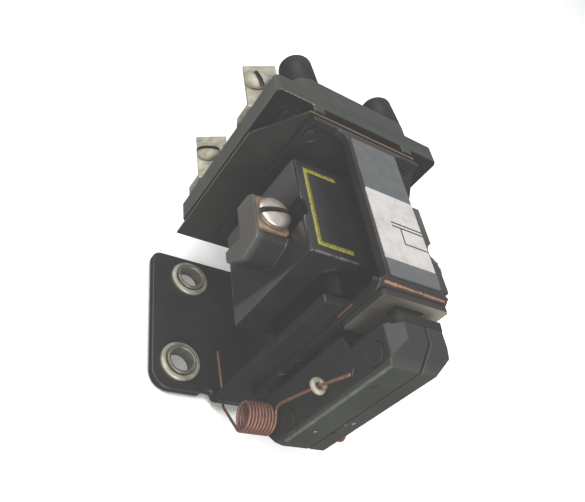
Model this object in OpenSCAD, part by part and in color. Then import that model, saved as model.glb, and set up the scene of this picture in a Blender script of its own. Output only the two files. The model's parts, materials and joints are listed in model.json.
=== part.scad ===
// Two-pole clapper relay on a steel mounting plate.
// X runs across the relay, Y up the panel and Z out of the panel.
// The origin is the middle of the mounting plate's back face.

/* [Mounting plate] */
// Width of the mounting plate
plate_w = 54.4; // [52:0.2:64]
// Height of the mounting plate
plate_h = 37.4; // [35:0.2:46]
// Thickness of the mounting plate
plate_t = 2; // [1.5:0.1:3]
// Radius of the plate's upper corners
plate_r_top = 2.4; // [1:0.2:4]
// Radius of the plate's lower corners
plate_r_low = 4.6; // [2:0.2:6]
// Width of the shelf bent out of the plate's lower edge
shelf_w = 25.6; // [24:0.2:28]
// How far the shelf runs on past the yoke's front rivets
shelf_lip = 2.6; // [2:0.1:3]
// Radius outside the shelf's bend
shelf_bend = 3.4; // [3:0.1:4]
// Radius of the relief cuts beside the shelf
relief_r = 2; // [1.6:0.1:2.4]
// Height of the relief cuts above the shelf
relief_h = 1; // [0.6:0.1:1.4]

/* [Mounting eyelets] */
// Distance between the upper pair of eyelets
eyelet_upper_spacing = 35; // [32:0.5:38]
// Distance between the lower pair of eyelets
eyelet_lower_spacing = 41; // [38:0.5:43]
// Upper eyelets' distance below the plate's upper edge
eyelet_top_inset = 6.5; // [6:0.1:8]
// Lower eyelets' distance above the plate's lower edge
eyelet_low_inset = 6.9; // [6:0.1:9]
// Bore of an eyelet
eyelet_bore = 5.5; // [4.5:0.1:6.5]
// Wall of an eyelet's barrel
eyelet_wall = 0.6; // [0.4:0.1:1]
// Radius of the roll on an eyelet's top edge
roll_r = 0.42; // [0.4:0.02:0.7]
// Diameter of an eyelet's washer
washer_d = 9.6; // [9:0.1:11]
// Thickness of an eyelet's washer
washer_t = 0.8; // [0.5:0.1:1.2]

/* [Yoke frame] */
// Thickness of the yoke's steel strip
yoke_t = 2; // [1.6:0.1:2.4]
// Height of the yoke over both flanges
yoke_h = 43.4; // [41:0.2:48]
// Distance from the plate's front to the front of the strap
yoke_out = 53.6; // [52:0.2:60]
// Width of the top flange
flange_w = 30; // [28.6:0.2:34]
// Depth of the top flange
flange_depth = 45; // [42:0.5:48]
// Width of the front strap
strap_w = 13.6; // [12:0.2:16]
// Width of the bottom flange
bottom_w = 17; // [16.4:0.2:20]
// Depth of the bottom flange
bottom_depth = 32; // [30:0.5:36]
// Radius outside the yoke's bends
bend_r = 3; // [2.6:0.1:4]
// Height of the bottom flange's ends beside the strap
shoulder_h = 1.4; // [1:0.1:3]
// Fillet where the strap widens into a flange
strap_fillet = 2.4; // [1:0.1:3]
// Thickness of the front pole plate
pole_t = 1.4; // [1:0.1:2]
// Width of the front pole plate
pole_w = 16; // [14:0.2:17]
// Depth of the front pole plate
pole_depth = 12; // [10:0.5:14]
// Front pole plate's distance behind the front of the strap
pole_setback = 0.9; // [0.5:0.1:2]

/* [Rivets] */
// Shank diameter of a rivet
rivet_d = 2.4; // [2:0.1:2.8]
// Head diameter of a rivet
rivet_head_d = 4.4; // [4:0.1:4.8]
// Head height of a rivet
rivet_head_h = 1.1; // [0.8:0.1:1.4]
// Yoke rivets' distance inside the bottom flange's sides
yoke_rivet_inset = 2.2; // [1.9:0.1:2.4]
// Yoke rivets' distance from the core's axis, in depth
yoke_rivet_reach = 7.6; // [7.2:0.1:8]
// Bracket rivets' distance inside the bracket flange's sides
bracket_rivet_inset = 2.8; // [2.4:0.1:3]
// Diameter of the carrier's rivets
carrier_rivet_d = 4.2; // [3.6:0.1:4.4]
// Carrier's rivets above its underside
carrier_rivet_up = 3.5; // [3.4:0.1:4]
// Carrier's front rivet behind its front
carrier_rivet_front = 6; // [5.4:0.1:7]
// Carrier's rear rivet in front of the pivot
carrier_rivet_rear = 5.6; // [5.4:0.1:6.4]

/* [Label] */
// Width of the label
label_w = 12.4; // [10:0.2:13]
// Height of the label
label_h = 36.4; // [30:0.2:38]
// Thickness of the label
label_t = 0.4; // [0.2:0.1:0.6]
// Label's distance below the top of the yoke
label_drop = 4.6; // [3.2:0.1:6]

/* [Coil] */
// Width of the coil's body
coil_w = 34.4; // [33:0.2:38]
// Depth of the coil's body
coil_depth = 28; // [27:0.2:30]
// Height of the coil's body
coil_h = 24.4; // [24:0.2:25]
// Gap between the front strap and the coil's front
coil_front_gap = 4.8; // [4.2:0.1:6]
// Coil body's distance below the top flange
coil_drop = 7.2; // [6:0.1:7.6]
// Width of the collars above and below the coil's body
collar_w = 22; // [18:0.5:24]
// How far a coil terminal tower stands out from the coil's side
tower_w = 7.2; // [6.6:0.1:8]
// Height of a tower's front
tower_h = 9.6; // [9:0.1:11]
// Depth of a tower at its top
tower_depth = 6.2; // [5:0.1:8]
// Tower's front behind the coil's front
tower_setback = 5.6; // [4:0.1:7]
// Tower's front edge below the top of the coil
tower_drop = 8.4; // [7.4:0.1:9]
// Depth of a tower over its rear foot
tower_foot = 12; // [10:0.2:14]
// Radius of the hollow round a coil terminal screw
hollow_r = 4.5; // [4.3:0.1:5]
// Width of a coil terminal clip
clip_w = 6.8; // [6.2:0.1:7]
// Height of a coil terminal clip
clip_h = 8.2; // [7.6:0.1:8.6]
// Thickness of a coil terminal clip
clip_t = 0.8; // [0.6:0.1:1.2]
// Head diameter of a coil terminal screw
coil_screw_d = 7.2; // [6.6:0.1:7.8]
// Head height of a coil terminal screw
coil_screw_h = 1.9; // [1.6:0.1:2.4]
// Shank diameter of a coil terminal screw
coil_shank_d = 3.6; // [3:0.1:4]
// Shank length of a coil terminal screw
coil_shank_l = 4; // [3:0.2:4.8]
// Diameter of the core
core_d = 12; // [10:0.2:13]
// Outer diameter of the winding
winding_d = 23; // [20:0.5:24]
// Wall of the coil between core and winding
bobbin_wall = 1.2; // [0.8:0.1:2]
// Cheek of the coil above and below the winding
bobbin_cheek = 2.4; // [1.6:0.2:4]

/* [Contact block] */
// Width of the terminal ledges that the base has beside the cover
ledge_w = 5.8; // [5.8:0.1:8]
// Depth of the contact base
base_depth = 45.2; // [44:0.2:48]
// Thickness of the contact base
base_t = 5.2; // [5:0.1:6]
// Front of the contact base behind the label's face
base_setback = 0.6; // [0:0.1:1]
// Chamfer on the contact base's upright edges
base_chamfer = 0.8; // [0.4:0.1:2]
// Height of the foot under the contact base
foot_h = 1.8; // [1.4:0.1:2.4]
// How far the foot lies inside the contact base's edge
foot_inset = 3.2; // [2:0.2:4]
// Width of the two feet at the base's front, under the posts
front_foot_w = 3; // [2.4:0.2:4]
// Thickness of the insulating sheet
sheet_t = 0.6; // [0.4:0.1:1]
// How far the insulating sheet stands out beside the base
sheet_side = 0.4; // [0.1:0.1:3]
// How far the insulating sheet stands out behind the base
sheet_over = 2; // [1:0.2:4]
// Front of the insulating sheet behind the front of the strap
sheet_setback = 0.8; // [0.4:0.1:1.6]
// Depth of the insulating sheet's sloping front corners
sheet_shoulder = 11; // [9:0.5:12]
// How far the contact cover's sides stand outside the posts
cover_edge = 0.1; // [0:0.1:0.2]
// Back of the contact cover in front of the base's back
cover_setback = 0.4; // [0.2:0.1:1]
// Height of the contact cover
cover_h = 4.4; // [4:0.1:6]
// Roof of the contact cover
cover_roof = 1.4; // [1:0.1:2]
// Diameter of a post at its foot
post_d = 9.2; // [8.4:0.1:9.4]
// Diameter of a post at its top
post_top_d = 8; // [7:0.1:8.4]
// Height of a post
post_h = 10.4; // [7:0.2:12]
// Depth of a clamp screw's head below the post's top
post_cover = 1.6; // [1:0.1:3]
// Posts' axes inside the sides of the top flange
post_inset = 2.3; // [2:0.1:3]
// Shank diameter of a clamp screw
clamp_d = 3; // [2.5:0.1:3.5]
// Head diameter of a clamp screw
clamp_head_d = 5.2; // [4.8:0.1:5.6]
// Head height of a clamp screw
clamp_head_h = 1.8; // [1.4:0.1:2.2]

/* [Contacts] */
// Distance between the two poles
pole_pitch = 24.1; // [23:0.1:24.6]
// Front terminal's strip behind the front of the base
terminal_back = 10.1; // [9.6:0.1:10.8]
// Width of a terminal strip
strip_w = 6.8; // [6:0.1:7.2]
// Thickness of a terminal strip
strip_t = 1; // [0.8:0.1:1.2]
// How far a terminal strip stands out past the base
strip_over = 0.8; // [0.7:0.1:1.2]
// Chamfer on a terminal strip's outer rear corner
strip_cut = 1; // [0.4:0.1:1.6]
// Gap between the inner ends of two terminal strips
strip_gap = 13; // [11:0.5:14]
// Width of a terminal's upright plate
upright_w = 7.8; // [6.8:0.1:8.2]
// Terminal screw's place in from the upright's outer edge
screw_in = 2.9; // [2.6:0.1:4]
// Terminal screw's place below the upright's top
screw_drop = 6.4; // [4:0.1:7]
// Height of a terminal's upright plate above the base
upright_h = 15.2; // [13:0.2:18]
// Angle by which an upright plate faces outwards
upright_turn = 28.7; // [20:0.1:32]
// Head diameter of a terminal screw
term_screw_d = 6; // [5:0.1:6.4]
// Head height of a terminal screw
term_screw_h = 2; // [1.4:0.1:2.6]
// Shank diameter of a terminal screw
term_shank_d = 3; // [2.5:0.1:3.5]
// Shank length of a terminal screw behind its plate
term_shank_l = 2.4; // [1.6:0.2:3]
// Diameter of a contact tip
tip_d = 3.6; // [3:0.1:4.4]
// Height of a contact tip
tip_h = 0.8; // [0.6:0.1:1]
// Distance between the contact tips of one bridge
tip_spacing = 19; // [18:0.2:20]
// Width of a contact bridge
bridge_w = 5; // [4.4:0.1:5.4]
// Thickness of a contact bridge
bridge_t = 0.8; // [0.6:0.1:1]
// Width of the contact crossbar
crossbar_w = 6; // [5.4:0.1:6.4]
// Height of the contact crossbar
crossbar_h = 3.2; // [2.8:0.1:3.4]
// Width of the lifter bar
lifter_w = 6; // [5:0.1:6.6]
// Thickness of the lifter bar
lifter_t = 2; // [1.6:0.1:2.2]
// Tips' gap left when the armature is closed
tip_rest_gap = 0.15; // [0.1:0.05:0.4]

/* [Armature] */
// Swing of the armature between open and closed
swing = 4; // [3:0.1:4.2]
// Pivot's distance in front of the plate
pivot_out = 14.5; // [13:0.1:16]
// Pivot's distance below the pole faces
pivot_drop = 6.2; // [5.6:0.1:7]
// Diameter of the hinge pin
pin_d = 3; // [2.4:0.1:3.4]
// Length of the hinge pin
pin_l = 13.2; // [10:0.2:14]
// Width of the armature carrier
carrier_w = 15; // [14.4:0.1:16]
// Height of the carrier below the pivot
carrier_low = 5.6; // [5:0.1:7]
// Carrier's front behind the front of the strap
carrier_setback = 1; // [0.5:0.1:2]
// Carrier's length behind the pivot
carrier_tail = 3.4; // [3.2:0.1:4.2]
// Bevel on the carrier's left front edge
carrier_bevel = 2.6; // [1:0.1:3]
// Bevel on the carrier's right front edge
carrier_bevel_right = 3.3; // [1:0.1:4]
// Slope under the carrier's front end
carrier_rake = 3.8; // [2:0.1:4.2]
// Slope under the carrier's rear end
carrier_rake_rear = 4.4; // [3:0.1:5]
// Chamfer along the carrier's lower left edge
carrier_chamfer = 1; // [0.5:0.1:2]
// Width of the slope along the carrier's lower right edge
carrier_slope = 3.7; // [2:0.1:5]
// Height of the slope along the carrier's lower right edge
carrier_slope_h = 5.2; // [3:0.1:6]
// Gap between the carrier's two halves
carrier_gap = 0.4; // [0.3:0.05:0.6]
// Width of the armature plate
armature_w = 11; // [10:0.2:11.6]
// Thickness of the armature plate
armature_t = 1.8; // [1.4:0.1:2]
// Length of the armature plate
armature_l = 33; // [30:0.5:34]
// Thickness of the hinge lug
lug_t = 4; // [3:0.2:5]
// Radius of the hinge lug round its pin
lug_r = 3.2; // [2.8:0.1:3.3]
// Thickness of the hinge bracket's flange
bracket_t = 2; // [1.6:0.1:2.4]
// Width of the hinge bracket's flange
bracket_w = 16; // [14:0.5:18]
// Depth of the hinge bracket's flange
bracket_depth = 12; // [10:0.2:12.6]
// Bracket flange's front edge ahead of the pivot
bracket_lead = 5.6; // [5:0.1:6]

/* [Return spring] */
// Diameter of the spring wire
wire_d = 0.55; // [0.5:0.01:0.56]
// Mean diameter of the spring's coil
spring_d = 5.7; // [5.4:0.1:6.6]
// Rise of the coil in one turn
spring_pitch = 0.98; // [0.97:0.01:1.1]
// Whole turns of the coil
spring_turns = 6; // [4:1:6]
// Gap between the coil and the carrier
spring_side = 0.5; // [0.3:0.1:0.8]
// Bore of the spring eye
eye_bore = 1.7; // [1.4:0.1:2]
// Wire of the spring eye
eye_wire = 0.9; // [0.7:0.1:1]
// Spring eye's distance in front of the pivot
eye_out = 18.2; // [15:0.2:19]
// Spring eye's distance below the pivot
eye_drop = 1.5; // [0.6:0.1:2]

// Spring leg's distance inside the shelf's side
leg_inset = 2.3; // [1.4:0.1:3]
// How far the leg on the plate stands up above the shelf
leg_up = 11; // [8:0.5:14]
// Sideways lean of the leg on the plate
leg_lean = 0.5; // [0.2:0.1:0.8]
// Short bends in the legs
leg_bend = 0.5; // [0.3:0.1:0.6]
// Rise of the long leg where it leaves the coil
leg_rise = 0.9; // [0.6:0.1:1.2]
// Length of the long leg past the eye
leg_past = 8; // [6:0.5:9]
// How far the long leg dips past the eye
leg_dip = 1.9; // [1:0.1:2.4]

/* [Clearances] */
// Clearance round screws, rivets and tubes in their holes
hole_clear = 0.1; // [0.05:0.05:0.2]
// Clearance of the hinge lug on the hinge pin
pin_press = 0.01; // [0.01:0.01:0.03]
// Clearance of the carrier on the hinge pin
pin_clear = 0.05; // [0.02:0.01:0.1]
// Clearance round sliding and swinging pieces
slide_clear = 0.4; // [0.3:0.05:0.5]
// Gap left round seated mouldings
seat_clear = 0.3; // [0.1:0.05:0.35]

/* [Hidden] */
$fn = 48;

// Colours as the object shows them
black_paint = [0.07, 0.07, 0.08];
black_moulding = [0.10, 0.10, 0.11];
grey_moulding = [0.17, 0.19, 0.18];
bare_steel = [0.62, 0.60, 0.56];
lacquered_steel = [0.42, 0.38, 0.33];
plated_steel = [0.74, 0.73, 0.68];
brass = [0.72, 0.58, 0.34];
copper = [0.74, 0.46, 0.32];
silver = [0.82, 0.82, 0.80];
fibre = [0.42, 0.32, 0.16];
label_grey = [0.80, 0.81, 0.82];

// Levels up the panel, from the mounting plate to the contact cover
shelf_top = -plate_h / 2;
shelf_under = shelf_top - plate_t;
bottom_over = shelf_under;
yoke_bottom = bottom_over - yoke_t;
yoke_top = yoke_bottom + yoke_h;
flange_under = yoke_top - yoke_t;
pole_face = yoke_bottom - pole_t;
sheet_top = yoke_top + sheet_t;
base_bottom = sheet_top + foot_h;
base_top = base_bottom + base_t;
cover_top = base_top + cover_h;
pivot_y = pole_face - pivot_drop;

// Levels out of the panel
strap_front = plate_t + yoke_out;
strap_back = strap_front - yoke_t;
flange_back = strap_front - flange_depth;
bottom_back = strap_front - bottom_depth;
label_front = strap_front + label_t;
coil_front = strap_back - coil_front_gap;
coil_back = coil_front - coil_depth;
core_z = (coil_front + coil_back) / 2;
shelf_depth = core_z + yoke_rivet_reach + shelf_lip;
pole_front = strap_front - pole_setback;
base_front = label_front - base_setback;
base_back = base_front - base_depth;
pivot_z = plate_t + pivot_out;
carrier_front = strap_front - carrier_setback;
lifter_z = (strap_back + coil_front) / 2;

// Screw heads' proportions: the rounded edge's height and run, and the slot's width and depth
edge_share = 0.35;
edge_run = 1.5;
slot_w_share = 0.13;
slot_h_share = 0.5;

// Small breaks on corners, and what a cut runs past the face it opens
corner = 0.5;
past = 1;

// Eyelets and rivets on the mounting plate
relief_in = 0.8;
eyelet_r = eyelet_bore / 2 + eyelet_wall;
upper_eyelet_y = plate_h / 2 - eyelet_top_inset;
lower_eyelet_y = -plate_h / 2 + eyelet_low_inset;
eyelet_places = [for (s = [-1, 1], p = [[eyelet_upper_spacing, upper_eyelet_y],
    [eyelet_lower_spacing, lower_eyelet_y]]) [s * p[0] / 2, p[1]]];
bracket_front = pivot_z + bracket_lead;
bracket_back = bracket_front - bracket_depth;
yoke_rivet_places = [for (s = [-1, 1], t = [-1, 1]) [s * (bottom_w / 2 - yoke_rivet_inset),
    core_z + t * yoke_rivet_reach]];
bracket_rivet_places = [for (s = [-1, 1]) [s * (bracket_w / 2 - bracket_rivet_inset),
    bracket_front - bracket_depth / 2]];

// Coil terminals
coil_top = flange_under - coil_drop;
coil_bottom = coil_top - coil_h;
collar_top = flange_under - seat_clear;
collar_bottom = shelf_top + seat_clear;
tower_front = coil_front - tower_setback;
tower_top = coil_top - tower_drop;
tower_out = coil_w / 2 + tower_w;
clip_inset = 0.1;
clip_lower = 0.5;
clip_x = tower_out - clip_w / 2 - clip_inset;
clip_y = tower_top - tower_h / 2 - clip_lower;
core_bore = core_d / 2 + seat_clear;
ring_groove = 1.6;
ring_r = core_d / 2 - ring_groove;
ring_w = 1.4;
ring_sink = 0.2;
ring_clear = 0.05;
winding_r = core_bore + bobbin_wall;

// Contact block, clamped to the top flange through its posts
post_spacing = flange_w - 2 * post_inset;
cover_w = post_spacing + post_d + 2 * cover_edge;
base_w = cover_w + 2 * ledge_w;
sheet_w = base_w + 2 * sheet_side;
window_clear = 0.1;
terminal_z = base_front - terminal_back;
pole_zs = [terminal_z - strip_w / 2, terminal_z - strip_w / 2 - pole_pitch];
strip_out = base_w / 2 + strip_over;
upright_in = strip_out - upright_w * cos(upright_turn);
upright_step = upright_w * sin(upright_turn);
upright_back = upright_in - strip_t * sin(upright_turn);
post_z = base_front - post_d / 2;
cover_screw_wall = 1.2;
cover_screw_x = crossbar_w / 2 + slide_clear + clamp_head_d / 2 + cover_screw_wall;
cover_screw_z = (pole_zs[0] + pole_zs[1]) / 2;
clamp_places = [for (s = [-1, 1]) [s * post_spacing / 2, post_z]];
mid_places = [for (s = [-1, 1]) [s * cover_screw_x, cover_screw_z]];
clamp_hole_r = clamp_d / 2 + hole_clear;
bridge_half = tip_spacing / 2 + tip_d / 2 + slide_clear;
chamber_w = 2 * (bridge_half + past);
chamber_d = strip_w + 2 * slide_clear;
crossbar_wall = 0.9;
crossbar_back = pole_zs[1] - bridge_w / 2 - window_clear - crossbar_wall;
crossbar_front = lifter_z + lifter_t / 2 + window_clear + crossbar_wall;
post_sink = clamp_head_h + post_cover;
screw_up = upright_h - screw_drop;

// Contact travel, from the armature's swing at the lifter
lifter_arm = lifter_z - pivot_z;
travel = lifter_arm * swing * PI / 180;
moving_tip_top = base_top - tip_h - tip_rest_gap - travel;
bridge_top = moving_tip_top - tip_h;
bridge_bottom = bridge_top - bridge_t;
crossbar_floor = 0.8;
crossbar_bottom = bridge_bottom - crossbar_floor;
tenon_w = 3;

// Armature, whose plate lies flat on the pole faces when it is closed
pole_air = 0.15;
closed_top = pole_face - pole_air;
armature_front = pole_front - slide_clear;
carrier_bottom = pivot_y - carrier_low;
ledge_drop = 1.4;
carrier_ledge = armature_top(armature_front) - ledge_drop;
cheek_front = pole_front - pole_depth - 3 * slide_clear;
cheek_top = yoke_bottom - (cheek_front - pivot_z) * sin(swing) - slide_clear;
lifter_foot = armature_top(lifter_z + lifter_t / 2) + slide_clear;
function armature_top(z) = closed_top - (z - pivot_z) * tan(swing);
carrier_rivet_y = carrier_bottom + carrier_rivet_up;
carrier_rivet_places = [[carrier_rivet_y, carrier_front - carrier_rivet_front],
    [carrier_rivet_y, pivot_z + carrier_rivet_rear]];

// Return spring's ends: an eye on the carrier and a hole through the shelf
spring_right = -carrier_w / 2 - spring_side - wire_d / 2;
eye_r = eye_bore / 2 + eye_wire / 2;
eye_stem_l = 2;
eye_x = -carrier_w / 2 - eye_r - slide_clear;
eye_y = pivot_y - eye_drop;
eye_z = pivot_z + eye_out;
leg_x = -shelf_w / 2 + leg_inset;
leg_hole_r = wire_d / 2 + slide_clear;
leg_z = plate_t + leg_hole_r;

// Centre line of the return spring: the plate's leg, the coil, then the carrier's leg
function unit(v) = v / norm(v);
coil_start = 224;
coil_end = 90;
curl_rings = 8;
wire_sides = 6;
coil_sweep = coil_start - coil_end + 360 * spring_turns;
coil_steps = ceil(coil_sweep / 360 * curl_rings);
spring_left = spring_right - spring_pitch * coil_sweep / 360;
function coil_point(a, x) = [x, pivot_y + spring_d / 2 * cos(a), pivot_z + spring_d / 2 * sin(a)];
coil_points = [for (i = [0:coil_steps]) coil_point(coil_start - coil_sweep * i / coil_steps,
    spring_left + (spring_right - spring_left) * i / coil_steps)];
leg_turn = [leg_x - leg_lean / 3, shelf_under - 2 * leg_bend, leg_z + leg_bend];
plate_leg = [[leg_x - leg_lean, shelf_top + leg_up, leg_z],
    [leg_x - leg_lean, shelf_top + leg_up - wire_d, leg_z],
    [leg_x, shelf_top + plate_t, leg_z], [leg_x, shelf_top - plate_t / 2, leg_z],
    [leg_x, shelf_under - leg_bend, leg_z], leg_turn,
    (coil_points[0] + leg_turn * 3) / 4, (coil_points[0] + leg_turn) / 2,
    (coil_points[0] * 7 + leg_turn) / 8];
coil_front_z = pivot_z + spring_d / 2;
leg_end = [eye_x + leg_bend / 2, eye_y - leg_dip, eye_z + leg_past];
carrier_leg = [[spring_right - hole_clear, pivot_y + leg_rise, coil_front_z + leg_bend],
    [eye_x + leg_bend, pivot_y + leg_rise, coil_front_z + 2 * leg_bend],
    [eye_x, pivot_y + leg_rise, coil_front_z + 6 * leg_bend],
    [eye_x, eye_y + leg_bend / 2, eye_z - leg_past / 3], [eye_x, eye_y, eye_z],
    [eye_x, eye_y - leg_bend / 2, eye_z + leg_past / 3], leg_end,
    leg_end + wire_d * unit([0, -leg_dip, leg_past])];
spring_path = concat(plate_leg, coil_points, carrier_leg);
spring_last = len(spring_path) - 1;

// Least distance between points of the coil that lie over half a turn apart, less the wire
spring_gaps = [for (i = [0:coil_steps], j = [i + curl_rings / 2:1:coil_steps])
    norm(coil_points[i] - coil_points[j]) - wire_d];
echo(spring_least_gap = min(spring_gaps));

function path_way(i) = unit(spring_path[min(i + 1, spring_last)] - spring_path[max(i - 1, 0)]);
function ring_side(t) = unit([1, 0, 0] - t[0] * t);
function wire_ring(i) = let (t = path_way(i), u = ring_side(t), v = cross(t, u))
    [for (k = [0:wire_sides - 1]) let (a = 360 * k / wire_sides)
        spring_path[i] + wire_d / 2 * (cos(a) * u + sin(a) * v)];

// An outline in Y and Z drawn out along X
module along_x(x0, x1) {
    translate([x0, 0, 0]) rotate([90, 0, 90]) linear_extrude(x1 - x0) children();
}

// An outline in X and Z drawn out along Y
module along_y(y0, y1) {
    translate([0, y1, 0]) rotate([90, 0, 0]) linear_extrude(y1 - y0) children();
}

// An outline in X and Y drawn out along Z
module along_z(z0, z1) {
    translate([0, 0, z0]) linear_extrude(z1 - z0) children();
}

// A box between two corners
module block(a, b) {
    translate(a) cube(b - a);
}

// A round bar along Y
module bar_y(p, y0, y1, r) {
    translate([p[0], y1, p[1]]) rotate([90, 0, 0]) cylinder(h = y1 - y0, r = r);
}

// A child and its mirror image across the relay
module both_sides() {
    children();
    mirror([1, 0, 0]) children();
}

// An outline with one pair of corner radii above and another below
module rounded_outline(w, y0, y1, r_low, r_top) {
    difference() {
        translate([-w / 2, y0]) square([w, y1 - y0]);
        for (s = [-1, 1]) {
            corner_cut(s * w / 2, y0, -s, 1, r_low);
            corner_cut(s * w / 2, y1, -s, -1, r_top);
        }
    }
}

// What a corner radius takes away, in the quarter that sx and sy point into
module corner_cut(x, y, sx, sy, r) {
    difference() {
        translate([x + (sx > 0 ? -1 : -r), y + (sy > 0 ? -1 : -r)]) square(r + 1);
        translate([x + sx * r, y + sy * r]) circle(r);
    }
}

// A rectangle with its four corners cut off
function cut_box(x0, y0, x1, y1, c) = [[x0 + c, y0], [x1 - c, y0], [x1, y0 + c], [x1, y1 - c],
    [x1 - c, y1], [x0 + c, y1], [x0, y1 - c], [x0, y0 + c]];

// A rivet along Y, flush below and with a low domed head above
module rivet(p, y0, y1) {
    dome = (pow(rivet_head_d / 2, 2) + pow(rivet_head_h, 2)) / (2 * rivet_head_h);
    bar_y(p, y0, y1, rivet_d / 2);
    translate([p[0], y1, p[1]]) rotate([-90, 0, 0]) intersection() {
        translate([0, 0, rivet_head_h - dome]) sphere(dome);
        cylinder(h = rivet_head_h, d = rivet_head_d);
    }
}

// A slotted round-edged screw head on the XY plane, with its shank below
module slotted_screw(head_d, head_h, shank_d, shank_l) {
    edge = head_h * edge_share;
    slot_w = head_d * slot_w_share;
    slot_h = head_h * slot_h_share;
    difference() {
        union() {
            cylinder(h = head_h - edge, d = head_d);
            translate([0, 0, head_h - edge])
                cylinder(h = edge, d1 = head_d, d2 = head_d - 2 * edge_run * edge);
            translate([0, 0, -shank_l]) cylinder(h = shank_l, d = shank_d);
        }
        translate([-head_d, -slot_w / 2, head_h - slot_h]) cube([2 * head_d, slot_w, head_h]);
    }
}

// The plate's edge profile, bent forward at its foot into the shelf
module plate_profile() {
    inner_r = shelf_bend - plate_t;
    difference() {
        translate([shelf_under, 0]) square([plate_h + plate_t, shelf_depth]);
        corner_cut(shelf_under, 0, 1, 1, shelf_bend);
        difference() {
            translate([shelf_top, plate_t]) square([plate_h + past, shelf_depth]);
            corner_cut(shelf_top, plate_t, 1, 1, inner_r);
        }
    }
}

// Steel plate with a shelf that carries the yoke and the hinge
module mounting_plate() {
    shelf = shelf_w / 2;
    color(black_paint) difference() {
        intersection() {
            along_x(-plate_w / 2, plate_w / 2) plate_profile();
            union() {
                along_z(0, plate_t) difference() {
                    rounded_outline(plate_w, shelf_top, plate_h / 2, plate_r_low, plate_r_top);
                    for (s = [-1, 1]) {
                        translate([s * (shelf + relief_r - relief_in), shelf_top + relief_h - relief_r])
                            circle(relief_r);
                    }
                }
                block([-shelf, shelf_under, 0], [shelf, shelf_top + shelf_bend, shelf_depth]);
            }
        }
        for (p = eyelet_places) {
            translate([p[0], p[1], -past]) cylinder(h = plate_t + 2 * past, r = eyelet_r + hole_clear);
        }
        for (p = concat(yoke_rivet_places, bracket_rivet_places)) {
            bar_y(p, shelf_under - past, shelf_top + past, rivet_d / 2 + hole_clear);
        }
        bar_y([0, core_z], shelf_under - past, shelf_top + past, core_d / 2 + slide_clear);
        bar_y([leg_x, leg_z], shelf_under - past, shelf_top + shelf_bend, leg_hole_r);
    }
}

// Rolled brass eyelets, flush at the back of the plate
module mounting_eyelets() {
    roll_z = plate_t + washer_t + roll_r;
    color(brass) for (p = eyelet_places) {
        translate([p[0], p[1], 0]) rotate_extrude() union() {
            translate([eyelet_bore / 2, 0]) square([eyelet_wall, roll_z]);
            intersection() {
                translate([eyelet_bore / 2 + roll_r, roll_z]) circle(roll_r);
                translate([eyelet_bore / 2, roll_z - roll_r]) square(2 * roll_r);
            }
        }
    }
}

// Dished washers between the plate and the eyelets' rolled ends
module eyelet_washers() {
    lip = 0.5;
    color(plated_steel) for (p = eyelet_places) {
        translate([p[0], p[1], plate_t]) rotate_extrude() polygon([
            [eyelet_r + hole_clear, 0], [washer_d / 2, 0], [washer_d / 2, washer_t],
            [washer_d / 2 - lip, washer_t + lip], [washer_d / 2 - 2 * lip, washer_t],
            [eyelet_r + hole_clear, washer_t]]);
    }
}

// The strip's edge profile: top flange, front strap and bottom flange
module yoke_profile() {
    inner_r = bend_r - yoke_t;
    difference() {
        translate([yoke_bottom, flange_back]) square([yoke_h, flange_depth]);
        corner_cut(yoke_bottom, strap_front, 1, -1, bend_r);
        corner_cut(yoke_top, strap_front, -1, -1, bend_r);
        difference() {
            translate([bottom_over, flange_back - past])
                square([yoke_h - 2 * yoke_t, flange_depth - yoke_t + past]);
            corner_cut(bottom_over, strap_back, 1, -1, inner_r);
            corner_cut(flange_under, strap_back, -1, -1, inner_r);
        }
        translate([yoke_bottom - past, flange_back - past])
            square([yoke_t + 2 * past, bottom_back - flange_back + past]);
    }
}

// The front view of the yoke, with fillets where the strap meets its flanges
module yoke_front() {
    f = strap_fillet;
    top_h = bend_r;
    translate([-strap_w / 2, yoke_bottom]) square([strap_w, yoke_h]);
    translate([-flange_w / 2, yoke_top - top_h]) square([flange_w, top_h]);
    translate([-bottom_w / 2, yoke_bottom]) square([bottom_w, shoulder_h]);
    for (s = [-1, 1]) {
        strap_corner(s, yoke_top - top_h, -1, f);
        strap_corner(s, yoke_bottom + shoulder_h, 1, f);
    }
}

// A fillet in the corner between the strap and a flange
module strap_corner(side, y, up, f) {
    x = side * strap_w / 2;
    difference() {
        translate([x - (side < 0 ? f : 0), y - (up < 0 ? f : 0)]) square(f);
        translate([x + side * f, y + up * f]) circle(f);
    }
}

module lifter_slot(y0, y1) {
    w = lifter_w / 2 + slide_clear;
    t = lifter_t / 2 + slide_clear;
    block([-w, y0, lifter_z - t], [w, y1, lifter_z + t]);
}

module yoke_frame() {
    color(black_paint) difference() {
        intersection() {
            along_x(-flange_w / 2, flange_w / 2) yoke_profile();
            union() {
                along_z(strap_back - bend_r, strap_front) yoke_front();
                block([-flange_w / 2, flange_under - bend_r, flange_back],
                    [flange_w / 2, yoke_top, strap_back]);
                block([-bottom_w / 2, yoke_bottom, flange_back],
                    [bottom_w / 2, bottom_over + bend_r, strap_back]);
            }
        }
        lifter_slot(yoke_bottom - past, bottom_over + past);
        lifter_slot(flange_under - past, yoke_top + past);
        bar_y([0, core_z], yoke_bottom - past, bottom_over + past, core_d / 2 + slide_clear);
        bar_y([0, core_z], flange_under - past, yoke_top + past, core_d / 4 + hole_clear);
        for (p = concat(clamp_places, mid_places)) {
            bar_y(p, flange_under - past, yoke_top + past, clamp_hole_r);
        }
        for (p = yoke_rivet_places) {
            bar_y(p, yoke_bottom - past, bottom_over + past, rivet_d / 2 + hole_clear);
        }
    }
}

// Flush rivets through the shelf and the bottom flange
module yoke_rivets() {
    color(black_paint) for (p = yoke_rivet_places) {
        bar_y(p, yoke_bottom, shelf_top, rivet_d / 2);
    }
}

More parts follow.
